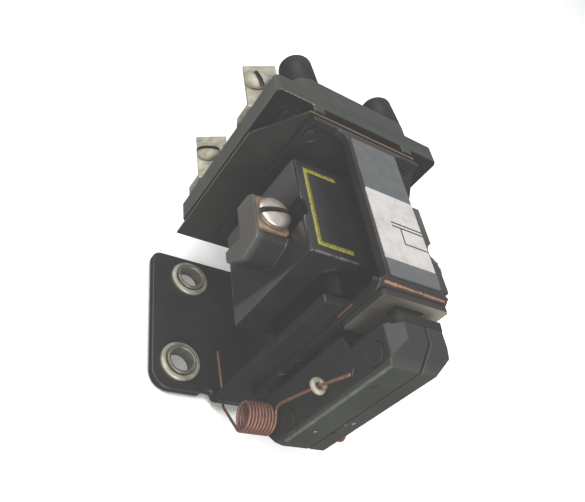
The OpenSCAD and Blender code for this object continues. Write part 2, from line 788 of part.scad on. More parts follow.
module front_pole_plate() {
    color(lacquered_steel) difference() {
        along_y(pole_face, yoke_bottom) polygon(cut_box(-pole_w / 2, pole_front - pole_depth,
            pole_w / 2, pole_front, corner));
        lifter_slot(pole_face - past, yoke_bottom + past);
    }
}

// Round core, shouldered under the top flange, with a groove in its pole face
module core() {
    color(lacquered_steel) difference() {
        union() {
            bar_y([0, core_z], pole_face, flange_under, core_d / 2);
            bar_y([0, core_z], flange_under, yoke_top, core_d / 4);
        }
        difference() {
            bar_y([0, core_z], pole_face - past, pole_face + ring_groove, ring_r);
            bar_y([0, core_z], pole_face - 2 * past, pole_face + 2 * ring_groove, ring_r - ring_w);
        }
    }
}

// Copper ring in the groove of the pole face
module shading_ring() {
    color(copper) difference() {
        bar_y([0, core_z], pole_face + ring_sink, pole_face + ring_groove, ring_r - ring_clear);
        bar_y([0, core_z], pole_face, pole_face + 2 * ring_groove, ring_r - ring_w + ring_clear);
    }
}

// Terminal tower on the coil's left side: a level top, a raked front and a rear foot
module coil_tower() {
    crest = 1.1;
    crest_run = 1.8;
    belly = 2.5;
    heel = 0.7;
    inner = -coil_w / 2 + past;
    back = tower_front - tower_depth;
    foot = tower_front - tower_foot;
    low = tower_top - tower_h;
    along_x(-tower_out, inner) polygon([
        [tower_top, tower_front], [tower_top + crest, tower_front - crest_run], [tower_top + crest, back],
        [low + belly + corner, back], [low + belly + 2 * corner, foot], [low + heel, foot],
        [low - belly, back], [low - crest, tower_front - crest], [low, tower_front]]);
}

module coil_housing() {
    half = coil_w / 2;
    collar = collar_w / 2;
    collar_cut = 2;
    color(black_moulding) difference() {
        union() {
            along_y(coil_bottom, coil_top) polygon(cut_box(-half, coil_back, half, coil_front, corner));
            along_y(collar_bottom, collar_top)
                polygon(cut_box(-collar, core_z - collar, collar, core_z + collar, collar_cut));
            both_sides() coil_tower();
        }
        bar_y([0, core_z], collar_bottom - past, collar_top + past, core_bore);
        difference() {
            bar_y([0, core_z], coil_bottom + bobbin_cheek, coil_top - bobbin_cheek, winding_d / 2);
            bar_y([0, core_z], coil_bottom, coil_top, winding_r);
        }
        both_sides() {
            translate([-clip_x, clip_y, tower_front - coil_shank_l - hole_clear])
                cylinder(h = coil_shank_l + past, d = coil_shank_d + 2 * hole_clear);
            translate([-clip_x, clip_y, tower_front]) cylinder(h = tower_setback + past, r = hollow_r);
            translate([-clip_x, clip_y, tower_front]) along_z(0, clip_t + seat_clear) square(
                [clip_w + 2 * seat_clear, clip_h + 2 * seat_clear], center = true);
        }
    }
}

// Wound copper, potted inside the coil
module coil_winding() {
    color(copper) difference() {
        bar_y([0, core_z], coil_bottom + bobbin_cheek + hole_clear, coil_top - bobbin_cheek - hole_clear,
            winding_d / 2 - hole_clear);
        bar_y([0, core_z], coil_bottom, coil_top, winding_r + hole_clear);
    }
}

// Saddle clip under a coil terminal screw
module coil_clip(side) {
    translate([side * clip_x, clip_y, tower_front]) difference() {
        along_z(0, clip_t) polygon(cut_box(-clip_w / 2, -clip_h / 2, clip_w / 2, clip_h / 2, corner));
        translate([0, 0, -past]) cylinder(h = clip_t + 2 * past, d = coil_shank_d + 2 * hole_clear);
    }
}

module coil_clip_left() {
    color(brass) coil_clip(-1);
}

module coil_clip_right() {
    color(brass) coil_clip(1);
}

module coil_terminal_screws() {
    turn = -10;
    color(plated_steel) for (s = [-1, 1]) {
        translate([s * clip_x, clip_y, tower_front + clip_t]) rotate([0, 0, turn])
            slotted_screw(coil_screw_d, coil_screw_h, coil_shank_d, coil_shank_l + clip_t - hole_clear);
    }
}

// Blank foil label on the front strap
module label_plate() {
    color(label_grey) along_z(strap_front, label_front) rounded_outline(label_w,
        yoke_top - label_drop - label_h, yoke_top - label_drop, corner, corner);
}

// Fibre sheet between the steel flange and the live contacts
module insulating_sheet() {
    front_w = flange_w / 2;
    nose = strap_front - sheet_setback;
    shoulder = nose - sheet_shoulder;
    color(fibre) difference() {
        along_y(yoke_top, sheet_top) polygon([
            [-sheet_w / 2, base_back - sheet_over], [sheet_w / 2, base_back - sheet_over],
            [sheet_w / 2, shoulder], [front_w, nose], [-front_w, nose], [-sheet_w / 2, shoulder]]);
        lifter_slot(yoke_top - past, sheet_top + past);
        for (p = concat(clamp_places, mid_places)) {
            bar_y(p, yoke_top - past, sheet_top + past, clamp_hole_r);
        }
    }
}

// Room inside the contact block for the bridges and the crossbar
module contact_rooms(y0, y1) {
    slot_w = crossbar_w / 2 + slide_clear;
    for (z = pole_zs) {
        block([-chamber_w / 2, y0, z - chamber_d / 2], [chamber_w / 2, y1, z + chamber_d / 2]);
    }
    block([-slot_w, y0, crossbar_back - slide_clear], [slot_w, y1, crossbar_front + slide_clear]);
}

module contact_base() {
    half = base_w / 2;
    color(black_moulding) difference() {
        union() {
            along_y(base_bottom, base_top)
                polygon(cut_box(-half, base_back, half, base_front, base_chamfer));
            along_y(sheet_top, base_bottom) polygon(cut_box(-half + foot_inset, base_back + foot_inset,
                half - foot_inset, base_front - foot_inset, base_chamfer));
            for (s = [-1, 1]) {
                translate([s * post_spacing / 2, 0, 0]) block(
                    [-front_foot_w / 2, sheet_top, base_front - foot_inset - past],
                    [front_foot_w / 2, base_bottom + past, base_front]);
            }
        }
        contact_rooms(sheet_top - past, base_top + past);
        for (p = concat(clamp_places, mid_places)) {
            bar_y(p, sheet_top - past, base_top + past, clamp_hole_r);
        }
    }
}

module contact_cover() {
    side = cover_w / 2;
    back = base_back + cover_setback;
    turn = side - post_spacing / 2;
    gap = strip_t + 2 * hole_clear;
    color(black_moulding) difference() {
        along_y(base_top, cover_top) difference() {
            polygon(cut_box(-side, back, side, base_front, 2 * corner));
            for (s = [-1, 1]) corner_cut(s * side, base_front, -s, -1, turn);
        }
        contact_rooms(base_top - past, cover_top - cover_roof);
        for (z = pole_zs) {
            block([-side - past, base_top - past, z - strip_w / 2 - 2 * hole_clear],
                [side + past, base_top + gap, z + strip_w / 2 + upright_step + corner]);
            both_sides() block([-side - past, base_top - past, z + strip_w / 2],
                [-upright_back + seat_clear, cover_top + past, z + strip_w / 2 + upright_step + corner]);
        }
        for (p = concat(clamp_places, mid_places)) {
            bar_y(p, base_top - past, cover_top + past, clamp_hole_r);
        }
    }
}

// Tapered hollow post with a clamp screw sunk in its top
module post(p) {
    color(grey_moulding) difference() {
        translate([p[0], cover_top, p[1]]) rotate([-90, 0, 0])
            cylinder(h = post_h, d1 = post_d, d2 = post_top_d);
        bar_y(p, cover_top - past, cover_top + post_h + past, clamp_hole_r);
        bar_y(p, cover_top + post_h - post_sink, cover_top + post_h + past, clamp_head_d / 2 + hole_clear);
    }
}

module post_left() {
    post(clamp_places[0]);
}

module post_right() {
    post(clamp_places[1]);
}

// A slotted clamp screw along Y, from its head's seat down to the flange
module clamp_screw(p, seat) {
    translate([p[0], seat, p[1]]) rotate([-90, 0, 0])
        slotted_screw(clamp_head_d, clamp_head_h, clamp_d, seat - flange_under);
}

module post_screws() {
    color(bare_steel) for (p = clamp_places) {
        clamp_screw(p, cover_top + post_h - post_sink);
    }
}

module cover_screws() {
    color(bare_steel) for (p = mid_places) {
        clamp_screw(p, cover_top);
    }
}

// Screw terminal: a strip on the base, with its end turned up and outwards
module terminal(side, z) {
    rear = z - strip_w / 2;
    front = z + strip_w / 2;
    mirror([side > 0 ? 1 : 0, 0, 0]) difference() {
        union() {
            along_y(base_top, base_top + strip_t) polygon([
                [-strip_out, rear + 2 * strip_cut], [-strip_out + strip_cut, rear],
                [-strip_gap / 2, rear], [-strip_gap / 2, front],
                [-upright_in, front], [-upright_in, front + upright_step], [-strip_out, front]]);
            terminal_frame(front) translate([0, 0, -strip_t])
                cube([upright_w, upright_h, strip_t]);
        }
        terminal_frame(front) translate([screw_in, screw_up, -strip_t - past])
            cylinder(h = strip_t + 2 * past, d = term_shank_d + 2 * hole_clear);
    }
}

// Places a child on a left terminal's upright plate, with Z out of its face
module terminal_frame(front) {
    translate([-strip_out, base_top, front]) rotate([0, -upright_turn, 0]) children();
}

module terminal_front_left() {
    color(plated_steel) terminal(-1, pole_zs[0]);
}

module terminal_front_right() {
    color(plated_steel) terminal(1, pole_zs[0]);
}

module terminal_rear_left() {
    color(plated_steel) terminal(-1, pole_zs[1]);
}

module terminal_rear_right() {
    color(plated_steel) terminal(1, pole_zs[1]);
}

module terminal_screws() {
    turns = [72, 20];
    color(plated_steel) for (i = [0, 1]) {
        both_sides() terminal_frame(pole_zs[i] + strip_w / 2)
            translate([screw_in, screw_up, 0]) rotate([0, 0, turns[i]])
                slotted_screw(term_screw_d, term_screw_h, term_shank_d, strip_t + term_shank_l);
    }
}

// A round contact tip on a strip or a bridge
module tips(y0, y1) {
    for (z = pole_zs, s = [-1, 1]) {
        bar_y([s * tip_spacing / 2, z], y0, y1, tip_d / 2);
    }
}

module fixed_contact_tips() {
    color(silver) tips(base_top - tip_h, base_top);
}

module moving_contact_tips() {
    color(silver) tips(bridge_top, moving_tip_top);
}

// Bridge that joins the two tips of one pole through the crossbar
module bridge(z) {
    color(brass) along_y(bridge_bottom, bridge_top)
        polygon(cut_box(-bridge_half, z - bridge_w / 2, bridge_half, z + bridge_w / 2, corner));
}

module bridge_front() {
    bridge(pole_zs[0]);
}

module bridge_rear() {
    bridge(pole_zs[1]);
}

module contact_crossbar() {
    half = crossbar_w / 2;
    color(grey_moulding) difference() {
        block([-half, crossbar_bottom, crossbar_back],
            [half, crossbar_bottom + crossbar_h, crossbar_front]);
        for (z = pole_zs) {
            block([-half - past, bridge_bottom - window_clear, z - bridge_w / 2 - window_clear],
                [half + past, bridge_top + window_clear, z + bridge_w / 2 + window_clear]);
        }
        block([-tenon_w / 2 - window_clear, crossbar_bottom - past, lifter_z - lifter_t / 2 - window_clear],
            [tenon_w / 2 + window_clear, crossbar_bottom + crossbar_h + past,
                lifter_z + lifter_t / 2 + window_clear]);
    }
}

// Flat bar behind the strap that lifts the crossbar
module lifter_bar() {
    w = lifter_w / 2;
    nose = 1;
    color(grey_moulding) along_z(lifter_z - lifter_t / 2, lifter_z + lifter_t / 2) polygon([
        [-w + nose, lifter_foot], [w - nose, lifter_foot], [w, lifter_foot + nose], [w, crossbar_bottom],
        [tenon_w / 2, crossbar_bottom], [tenon_w / 2, crossbar_bottom + crossbar_h],
        [-tenon_w / 2, crossbar_bottom + crossbar_h], [-tenon_w / 2, crossbar_bottom],
        [-w, crossbar_bottom], [-w, lifter_foot + nose]]);
}

// Hinge lug on a flange that is riveted under the shelf
module hinge_bracket() {
    half = bracket_w / 2;
    under = shelf_under - bracket_t;
    reach = bracket_depth / 2 - corner;
    mid = bracket_front - bracket_depth / 2;
    color(black_paint) difference() {
        union() {
            along_y(under, shelf_under)
                polygon(cut_box(-half, bracket_back, half, bracket_front, 2 * corner));
            along_x(-lug_t / 2, lug_t / 2) difference() {
                union() {
                    polygon([[shelf_under, mid - reach], [shelf_under, mid + reach], [under, mid + reach],
                        [pivot_y, pivot_z + lug_r], [pivot_y, pivot_z - lug_r], [under, mid - reach]]);
                    translate([pivot_y, pivot_z]) circle(lug_r);
                }
                translate([pivot_y, pivot_z]) circle(pin_d / 2 + pin_press);
            }
        }
        for (p = bracket_rivet_places) {
            bar_y(p, under - past, shelf_under + past, rivet_d / 2 + hole_clear);
        }
    }
}

module bracket_rivets() {
    color(black_paint) for (p = bracket_rivet_places) {
        rivet(p, shelf_under - bracket_t, shelf_top);
    }
}

module hinge_pin() {
    color(bare_steel) translate([-pin_l / 2, pivot_y, pivot_z]) rotate([0, 90, 0])
        cylinder(h = pin_l, d = pin_d);
}

// Places a child, drawn with the armature closed, at the open rest
module at_rest() {
    translate([0, pivot_y, pivot_z]) rotate([swing, 0, 0]) translate([0, -pivot_y, -pivot_z]) children();
}

// Steel plate that the pole faces draw up
module armature_plate() {
    color(lacquered_steel) at_rest() along_y(closed_top - armature_t, closed_top)
        polygon(cut_box(-armature_w / 2, armature_front - armature_l,
            armature_w / 2, armature_front, 2 * corner));
}

// The carrier's side view: raked ends, a low front under the poles and high rear cheeks
module carrier_profile() {
    tail = pivot_z - carrier_tail;
    polygon([
        [carrier_ledge, carrier_front], [carrier_bottom + carrier_rake, carrier_front],
        [carrier_bottom, carrier_front - carrier_rake], [carrier_bottom, tail + carrier_rake_rear],
        [carrier_bottom + carrier_rake_rear, tail], [pivot_y + carrier_tail, tail],
        [cheek_top, pivot_z - corner], [cheek_top, cheek_front],
        [carrier_ledge, cheek_front + ledge_drop]]);
}

// The carrier's front view, from its bevelled left edge to its sloping right edge
module carrier_section() {
    half = carrier_w / 2;
    top = cheek_top + past;
    polygon([[-half, top], [-half, carrier_bottom + carrier_chamfer],
        [-half + carrier_chamfer, carrier_bottom], [half - carrier_slope, carrier_bottom],
        [half, carrier_bottom + carrier_slope_h], [half, top]]);
}

module carrier_body() {
    half = carrier_w / 2;
    slot = max(armature_w, core_d) / 2 + slide_clear;
    back = pivot_z - carrier_tail - past;
    difference() {
        intersection() {
            along_x(-half, half) carrier_profile();
            along_z(back, carrier_front) carrier_section();
            along_y(carrier_bottom, cheek_top) polygon([
                [-half, back], [half, back], [half, carrier_front - carrier_bevel_right],
                [half - carrier_bevel_right, carrier_front], [-half + carrier_bevel, carrier_front],
                [-half, carrier_front - carrier_bevel]]);
        }
        at_rest() block([-slot, closed_top - armature_t, armature_front - armature_l - slide_clear],
            [slot, yoke_bottom, carrier_front + pivot_drop]);
        translate([-pin_l / 2 - hole_clear, pivot_y, pivot_z]) rotate([0, 90, 0])
            cylinder(h = pin_l + 2 * hole_clear, d = pin_d + 2 * pin_clear);
        lug_room();
        for (p = carrier_rivet_places) {
            translate([-half - past, p[0], p[1]]) rotate([0, 90, 0])
                cylinder(h = past + carrier_w - carrier_slope, d = carrier_rivet_d + 2 * hole_clear);
        }
        translate([-half - past, eye_y, eye_z]) rotate([0, 90, 0])
            cylinder(h = past + eye_stem_l + hole_clear, d = eye_wire + 2 * hole_clear);
    }
}

// Room for the hinge lug between the carrier's halves
module lug_room() {
    w = lug_t / 2 + slide_clear;
    translate([-w, pivot_y, pivot_z]) rotate([0, 90, 0]) cylinder(h = 2 * w, r = lug_r + slide_clear);
    block([-w, pivot_y, pivot_z - carrier_tail - past], [w, cheek_top + past, bracket_front]);
}

module carrier_left() {
    color(grey_moulding) intersection() {
        carrier_body();
        block([-carrier_w, carrier_bottom - past, 0],
            [-carrier_gap / 2, cheek_top + past, carrier_front + past]);
    }
}

module carrier_right() {
    color(grey_moulding) intersection() {
        carrier_body();
        block([carrier_gap / 2, carrier_bottom - past, 0],
            [carrier_w, cheek_top + past, carrier_front + past]);
    }
}

// Rivets that hold the carrier's halves together, front and rear
module carrier_rivets() {
    half = carrier_w / 2;
    proud = 0.1;
    color(grey_moulding) for (p = carrier_rivet_places) {
        translate([-half - proud, p[0], p[1]]) rotate([0, 90, 0])
            cylinder(h = carrier_w - carrier_slope, d = carrier_rivet_d);
    }
}

// Wire eye on the carrier's left side that holds the spring's long leg
module spring_eye() {
    stem = -carrier_w / 2 + eye_stem_l;
    color(plated_steel) translate([0, eye_y, eye_z]) {
        translate([eye_x, 0, 0]) rotate_extrude() translate([eye_r, 0]) circle(eye_wire / 2);
        translate([eye_x + eye_r, 0, 0]) rotate([0, 90, 0])
            cylinder(h = stem - eye_x - eye_r, d = eye_wire);
    }
}

module return_spring() {
    n = wire_sides;
    rings = [for (i = [0:spring_last]) each wire_ring(i)];
    last = n * spring_last;
    walls = [for (i = [0:spring_last - 1], k = [0:n - 1]) each [
        [n * i + k, n * i + (k + 1) % n, n * i + n + k],
        [n * i + (k + 1) % n, n * i + n + (k + 1) % n, n * i + n + k]]];
    ends = [for (k = [1:n - 2]) each [[0, k + 1, k], [last, last + k, last + k + 1]]];
    color(copper) polyhedron(rings, concat(walls, ends));
}

mounting_plate();
mounting_eyelets();
eyelet_washers();
yoke_frame();
yoke_rivets();
front_pole_plate();
core();
shading_ring();
coil_housing();
coil_winding();
coil_clip_left();
coil_clip_right();
coil_terminal_screws();
label_plate();
insulating_sheet();
contact_base();
contact_cover();
post_left();
post_right();
post_screws();
cover_screws();
terminal_front_left();
terminal_front_right();
terminal_rear_left();
terminal_rear_right();
terminal_screws();
fixed_contact_tips();
bridge_front();
bridge_rear();
moving_contact_tips();
contact_crossbar();
lifter_bar();
hinge_bracket();
bracket_rivets();
hinge_pin();
armature_plate();
carrier_left();
carrier_right();
carrier_rivets();
spring_eye();
return_spring();
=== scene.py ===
import json
import math
import bmesh
import bpy
from mathutils import Matrix, Vector, noise


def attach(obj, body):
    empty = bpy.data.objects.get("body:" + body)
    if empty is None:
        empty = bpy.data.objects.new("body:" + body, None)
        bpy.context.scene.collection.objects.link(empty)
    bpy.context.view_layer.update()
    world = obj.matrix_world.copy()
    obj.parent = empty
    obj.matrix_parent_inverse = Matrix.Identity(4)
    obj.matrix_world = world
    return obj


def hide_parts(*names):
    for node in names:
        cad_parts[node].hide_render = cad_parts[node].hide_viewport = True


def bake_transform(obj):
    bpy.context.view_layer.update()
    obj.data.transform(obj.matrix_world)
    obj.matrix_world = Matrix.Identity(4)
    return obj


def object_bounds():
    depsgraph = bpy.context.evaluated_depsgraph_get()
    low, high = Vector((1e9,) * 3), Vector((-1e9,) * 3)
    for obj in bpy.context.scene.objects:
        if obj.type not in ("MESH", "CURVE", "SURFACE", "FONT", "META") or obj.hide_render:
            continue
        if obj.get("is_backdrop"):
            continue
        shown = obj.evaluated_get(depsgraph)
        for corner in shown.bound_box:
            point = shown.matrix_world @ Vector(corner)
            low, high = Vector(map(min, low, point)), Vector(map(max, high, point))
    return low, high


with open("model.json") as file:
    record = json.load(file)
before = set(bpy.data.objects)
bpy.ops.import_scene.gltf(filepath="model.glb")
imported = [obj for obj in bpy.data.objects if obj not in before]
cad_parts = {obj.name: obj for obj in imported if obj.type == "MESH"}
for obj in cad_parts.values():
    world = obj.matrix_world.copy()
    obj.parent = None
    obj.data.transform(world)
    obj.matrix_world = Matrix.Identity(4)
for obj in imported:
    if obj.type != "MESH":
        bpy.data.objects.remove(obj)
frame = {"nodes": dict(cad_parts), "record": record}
cadBox = [list(corner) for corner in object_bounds()]
nodes = frame["nodes"]
record = frame["record"]
bodyOf = {node: body for body, members in record["behaviour"]["bodies"].items() for node in members}
mm = 0.001
print("stage: frame loaded, %d nodes" % len(nodes))


# camera and light: the relay lies on its plate, on a pale floor
view = {"eye": (-73.98, -79.76, 111.52), "right": (0.824, -0.134, 0.551), "up": (-0.262, 0.772, 0.579),
        "lens": 36.92, "sensor": 36.0, "nearest": 10.0}
right = Vector(view["right"]).normalized()
up = Vector(view["up"])
up = (up - right * up.dot(right)).normalized()
back = right.cross(up)
turned = Matrix((right, up, back)).transposed().to_4x4()
camera = bpy.data.objects.new("Camera", bpy.data.cameras.new("Camera"))
camera.matrix_world = Matrix.Translation(Vector(view["eye"]) * mm) @ turned
camera.data.sensor_fit = "HORIZONTAL"
camera.data.sensor_width = view["sensor"]
camera.data.lens = view["lens"]
camera.data.clip_start = view["nearest"] * mm
bpy.context.collection.objects.link(camera)
bpy.context.scene.camera = camera
bpy.context.scene.view_settings.view_transform = "Standard"


def linear(code):
    parts = [int(code[i:i + 2], 16) / 255 for i in (0, 2, 4)]
    return [c / 12.92 if c <= 0.04045 else ((c + 0.055) / 1.055) ** 2.4 for c in parts] + [1.0]


def plug(tree, node, links):
    # a node among the sources stands for its first output
    for socket, source in links:
        if isinstance(source, bpy.types.Node):
            source = source.outputs[0]
        tree.links.new(source, node.inputs[socket])


def addNode(tree, kind, settings, links=()):
    node = tree.nodes.new("ShaderNode" + kind)
    for key, value in settings.items():
        if key == "stops":  # colour ramp: list of (place, hex)
            while len(node.color_ramp.elements) < len(value):
                node.color_ramp.elements.new(1.0)
            for stop, (place, code) in zip(node.color_ramp.elements, value):
                stop.position = place
                stop.color = linear(code)
        elif isinstance(key, int) or key in node.inputs:
            node.inputs[key].default_value = value
        else:
            setattr(node, key, value)
    plug(tree, node, links)
    return node


studio = {"sky": 0.58, "below": 0.1, "floor": "f7f7f5", "floorHalf": 3000, "glow": 0.25, "veil": 0.042,
          "aim": (0, 0, 30),
          "lamps": [  # name, place in mm, size in mm, watts
              ("key", (-620, 420, 1000), 500, 7.5),
              ("fill", (-520, -380, 1050), 500, 3.0),
              ("low", (-200, -1000, 460), 700, 10.0)]}
world = bpy.data.worlds.new("soft studio")
bpy.context.scene.world = world
world.use_nodes = True
tree = world.node_tree
backdrop = tree.nodes["Background"]
backdrop.inputs["Color"].default_value = linear("ffffff")
heading = addNode(tree, "TexCoord", {})
rise = addNode(tree, "SeparateXYZ", {}, [("Vector", heading)])
level = addNode(tree, "MapRange", {"From Min": -0.1, "From Max": 0.3, "To Min": studio["below"],
                                   "To Max": studio["sky"]}, [("Value", rise.outputs["Z"])])
plug(tree, backdrop, [("Strength", level)])  # dark below, for the gloss alone
aim = Vector(studio["aim"]) * mm
for name, place, size, watts in studio["lamps"]:
    lamp = bpy.data.objects.new("lamp_" + name, bpy.data.lights.new(name, "AREA"))
    lamp.data.shape = "DISK"
    lamp.data.size = size * mm
    lamp.data.energy = watts
    stand = Vector(place) * mm
    lamp.matrix_world = Matrix.Translation(stand) @ (stand - aim).to_track_quat("Z", "Y").to_matrix().to_4x4()
    bpy.context.collection.objects.link(lamp)

grade = bpy.context.scene.view_settings  # the photo's blacks are lifted by a faint veil of stray light
grade.use_curve_mapping = True
for curve in grade.curve_mapping.curves[:3]:
    curve.points[0].location = (0.0, studio["veil"])
grade.curve_mapping.update()
print("stage: camera and light")


# finishes: a pattern's scale is 1000 over its size in mm
def startFinish(name, metallic=0.0, roughness=0.5):
    finish = bpy.data.materials.new(name)
    finish.use_nodes = True
    tree = finish.node_tree
    skin = tree.nodes["Principled BSDF"]
    skin.inputs["Metallic"].default_value = metallic
    skin.inputs["Roughness"].default_value = roughness
    spot = addNode(tree, "TexCoord", {}).outputs["Object"]  # metres in the shared frame
    return finish, tree, skin, spot


def copyFinish(finish, name, codes=(), constants=()):
    # a copy with new colours in its first ramp, and with constants in place of links
    copied = finish.copy()
    copied.name = name
    tree = copied.node_tree
    skin = tree.nodes["Principled BSDF"]
    ramp = next(n for n in tree.nodes if n.type == "VALTORGB").color_ramp
    for stop, code in zip(ramp.elements, codes):
        stop.color = linear(code)
    for socket, value in constants:
        for link in skin.inputs[socket].links:
            tree.links.remove(link)
        skin.inputs[socket].default_value = value
    return copied


def openFinish(finish):
    # what a copied finish is changed with: its tree, skin, coordinates and colour so far
    tree = finish.node_tree
    skin = tree.nodes["Principled BSDF"]
    spot = next(n for n in tree.nodes if n.type == "TEX_COORD").outputs["Object"]
    return tree, skin, spot, skin.inputs["Base Color"].links[0].from_socket


def over(tree, mask, under, code):
    # lays a colour over another one; 6, 7 and the output 2 are the mixer's colour sockets
    mix = addNode(tree, "Mix", {"data_type": "RGBA", 7: linear(code)}, [(0, mask), (6, under)])
    return mix.outputs[2]


def wornEdges(tree, spot, reach, patch, low, high):
    # rays inside the piece find its outer edges; noise breaks the wear up
    edge = addNode(tree, "AmbientOcclusion", {"inside": True, "only_local": True, "samples": 6,
                                              "Distance": reach * mm})
    broken = addNode(tree, "TexNoise", {"Scale": 1000 / patch, "Detail": 5.0, "Roughness": 0.65},
                     [("Vector", spot)])
    bare = addNode(tree, "Math", {"operation": "SUBTRACT", 0: 1.0}, [(1, edge.outputs["AO"])])
    both = addNode(tree, "Math", {"operation": "MULTIPLY"}, [(0, bare), (1, broken)])
    return addNode(tree, "MapRange", {"From Min": low, "From Max": high}, [("Value", both)])


def settledDirt(tree, spot, reach, patch, most):
    # dirt stays in inner corners, thicker in patches
    hollow = addNode(tree, "AmbientOcclusion", {"samples": 6, "Distance": reach * mm})
    patchy = addNode(tree, "TexNoise", {"Scale": 1000 / patch, "Detail": 4.0}, [("Vector", spot)])
    shade = addNode(tree, "Math", {"operation": "SUBTRACT", 0: 1.0}, [(1, hollow.outputs["AO"])])
    both = addNode(tree, "Math", {"operation": "MULTIPLY"}, [(0, shade), (1, patchy)])
    return addNode(tree, "MapRange", {"From Min": 0.12, "From Max": 0.5, "To Max": most}, [("Value", both)])


def rubbed(tree, spot, start, end, reach, patch, low, high):
    # a mark along the line from start to end in mm, torn up by noise of that patch size; wear, and on the
    # carrier's chamfer a painted highlight
    line = (Vector(end) - Vector(start)) * mm
    out = addNode(tree, "VectorMath", {"operation": "SUBTRACT", 1: Vector(start) * mm}, [(0, spot)])
    share = addNode(tree, "VectorMath", {"operation": "DOT_PRODUCT", 1: line / line.length_squared},
                    [(0, out)])
    held = addNode(tree, "Clamp", {}, [("Value", share.outputs["Value"])])
    foot = addNode(tree, "VectorMath", {"operation": "SCALE", 0: line}, [("Scale", held)])
    away = addNode(tree, "VectorMath", {"operation": "DISTANCE"}, [(0, out), (1, foot)])
    near = addNode(tree, "MapRange", {"From Min": reach * mm, "From Max": 0.0},
                   [("Value", away.outputs["Value"])])
    torn = addNode(tree, "TexNoise", {"Scale": 1000 / patch, "Detail": 6.0, "Roughness": 0.7},
                   [("Vector", spot)])
    both = addNode(tree, "Math", {"operation": "MULTIPLY"}, [(0, near), (1, torn)])
    return addNode(tree, "MapRange", {"From Min": low, "From Max": high}, [("Value", both)])


def mark(tree, spot, colour, marks):
    # each mark: start and end in mm, reach and patch in mm, low and high limits of the wear, colour
    for *line, code in marks:
        colour = over(tree, rubbed(tree, spot, *line), colour, code)
    return colour


# black stoved enamel on bent steel: satin, a slight orange peel, rubbed grey on its edges
enamel, tree, skin, spot = startFinish("black stoved enamel")
peel = addNode(tree, "TexNoise", {"Scale": 1000 / 0.9, "Detail": 2.0}, [("Vector", spot)])
haze = addNode(tree, "TexNoise", {"Scale": 1000 / 7, "Detail": 6.0, "Roughness": 0.6}, [("Vector", spot)])
tone = addNode(tree, "ValToRGB", {"stops": [(0.3, "131314"), (0.7, "1b1b1a")]}, [("Fac", haze)])
colour = over(tree, settledDirt(tree, spot, 3.0, 4, 0.35), tone, "2b2822")
colour = over(tree, wornEdges(tree, spot, 0.4, 2.2, 0.22, 0.4), colour, "3d3d39")
sheen = addNode(tree, "MapRange", {"To Min": 0.34, "To Max": 0.52}, [("Value", haze)])
bump = addNode(tree, "Bump", {"Strength": 0.12, "Distance": 0.08 * mm}, [("Height", peel)])
plug(tree, skin, [("Base Color", colour), ("Roughness", sheen), ("Normal", bump)])

# the same enamel on the yoke, over copper flash: rubbed thin in two places, and through to copper along the
# lower bend and flange
yokeThin = [((-8.5, -20.7, 24.4), (-8.5, -20.7, 40.0), 0.4, 1.6, 0.08, 0.3, "7d7866"),
            ((-6.6, -19.0, 55.6), (-6.6, -3.0, 55.6), 0.25, 1.2, 0.28, 0.8, "7a5341")]
yokeBare = [((-7.2, -21.49, 55.0), (7.6, -21.75, 54.8), 0.6, 0.8, 0.28, 0.56),
            ((-7.2, -21.49, 55.0), (-4.6, -21.54, 54.96), 0.7, 1.0, 0.28, 0.5),
            ((-8.5, -21.7, 43.0), (-8.5, -21.7, 47.0), 0.35, 0.9, 0.15, 0.3)]
yokeEnamel = copyFinish(enamel, "black stoved enamel over copper flash")
tree, skin, spot, colour = openFinish(yokeEnamel)
colour = mark(tree, spot, colour, yokeThin)
bare = rubbed(tree, spot, *yokeBare[0])
for line in yokeBare[1:]:
    more = rubbed(tree, spot, *line)
    bare = addNode(tree, "Math", {"operation": "MAXIMUM"}, [(0, bare), (1, more)])
colour = over(tree, bare, colour, "d89a78")
plug(tree, skin, [("Base Color", colour), ("Metallic", bare)])

# moulded phenolic with wood flour: grey green black, dull, faint flow marks and pale rubbed edges
phenolic, tree, skin, spot = startFinish("moulded phenolic")
flour = addNode(tree, "TexNoise", {"Scale": 1000 / 0.45, "Detail": 3.0}, [("Vector", spot)])
flow = addNode(tree, "TexNoise", {"Scale": 1000 / 9, "Detail": 5.0, "Distortion": 0.6}, [("Vector", spot)])
tone = addNode(tree, "ValToRGB", {"stops": [(0.25, "22261f"), (0.75, "2c312a")]}, [("Fac", flow)])
speck = addNode(tree, "MapRange", {"From Min": 0.62, "From Max": 0.74, "To Max": 0.35}, [("Value", flour)])
colour = over(tree, speck, tone, "414541")
colour = over(tree, settledDirt(tree, spot, 2.5, 3, 0.5), colour, "2a2925")
colour = over(tree, wornEdges(tree, spot, 0.9, 1.8, 0.22, 0.42), colour, "5c5f5a")
dull = addNode(tree, "MapRange", {"To Min": 0.44, "To Max": 0.62}, [("Value", flow)])
bump = addNode(tree, "Bump", {"Strength": 0.15, "Distance": 0.05 * mm}, [("Height", flour)])
plug(tree, skin, [("Base Color", colour), ("Roughness", dull), ("Normal", bump)])

# the same on the base, whose lower front edge is rubbed pale at its left end
baseMarks = [((-22.3, 23.2, 55.3), (-13.7, 23.2, 55.3), 0.3, 0.7, 0.2, 0.6, "a9aaa6")]
basePhenolic = copyFinish(phenolic, "moulded phenolic, rubbed")
tree, skin, spot, colour = openFinish(basePhenolic)
plug(tree, skin, [("Base Color", mark(tree, spot, colour, baseMarks))])

# its upright sides carry painted light, paler than its face; its lower face and its rooms carry painted
# shade, near black
baseSideLit = copyFinish(phenolic, "moulded phenolic, painted_lit", ("3a3b37", "464742"))
baseUnderShaded = copyFinish(phenolic, "moulded phenolic, sooty", ("070807", "0d0e0c"),
                       [("Specular IOR Level", 0.15)])
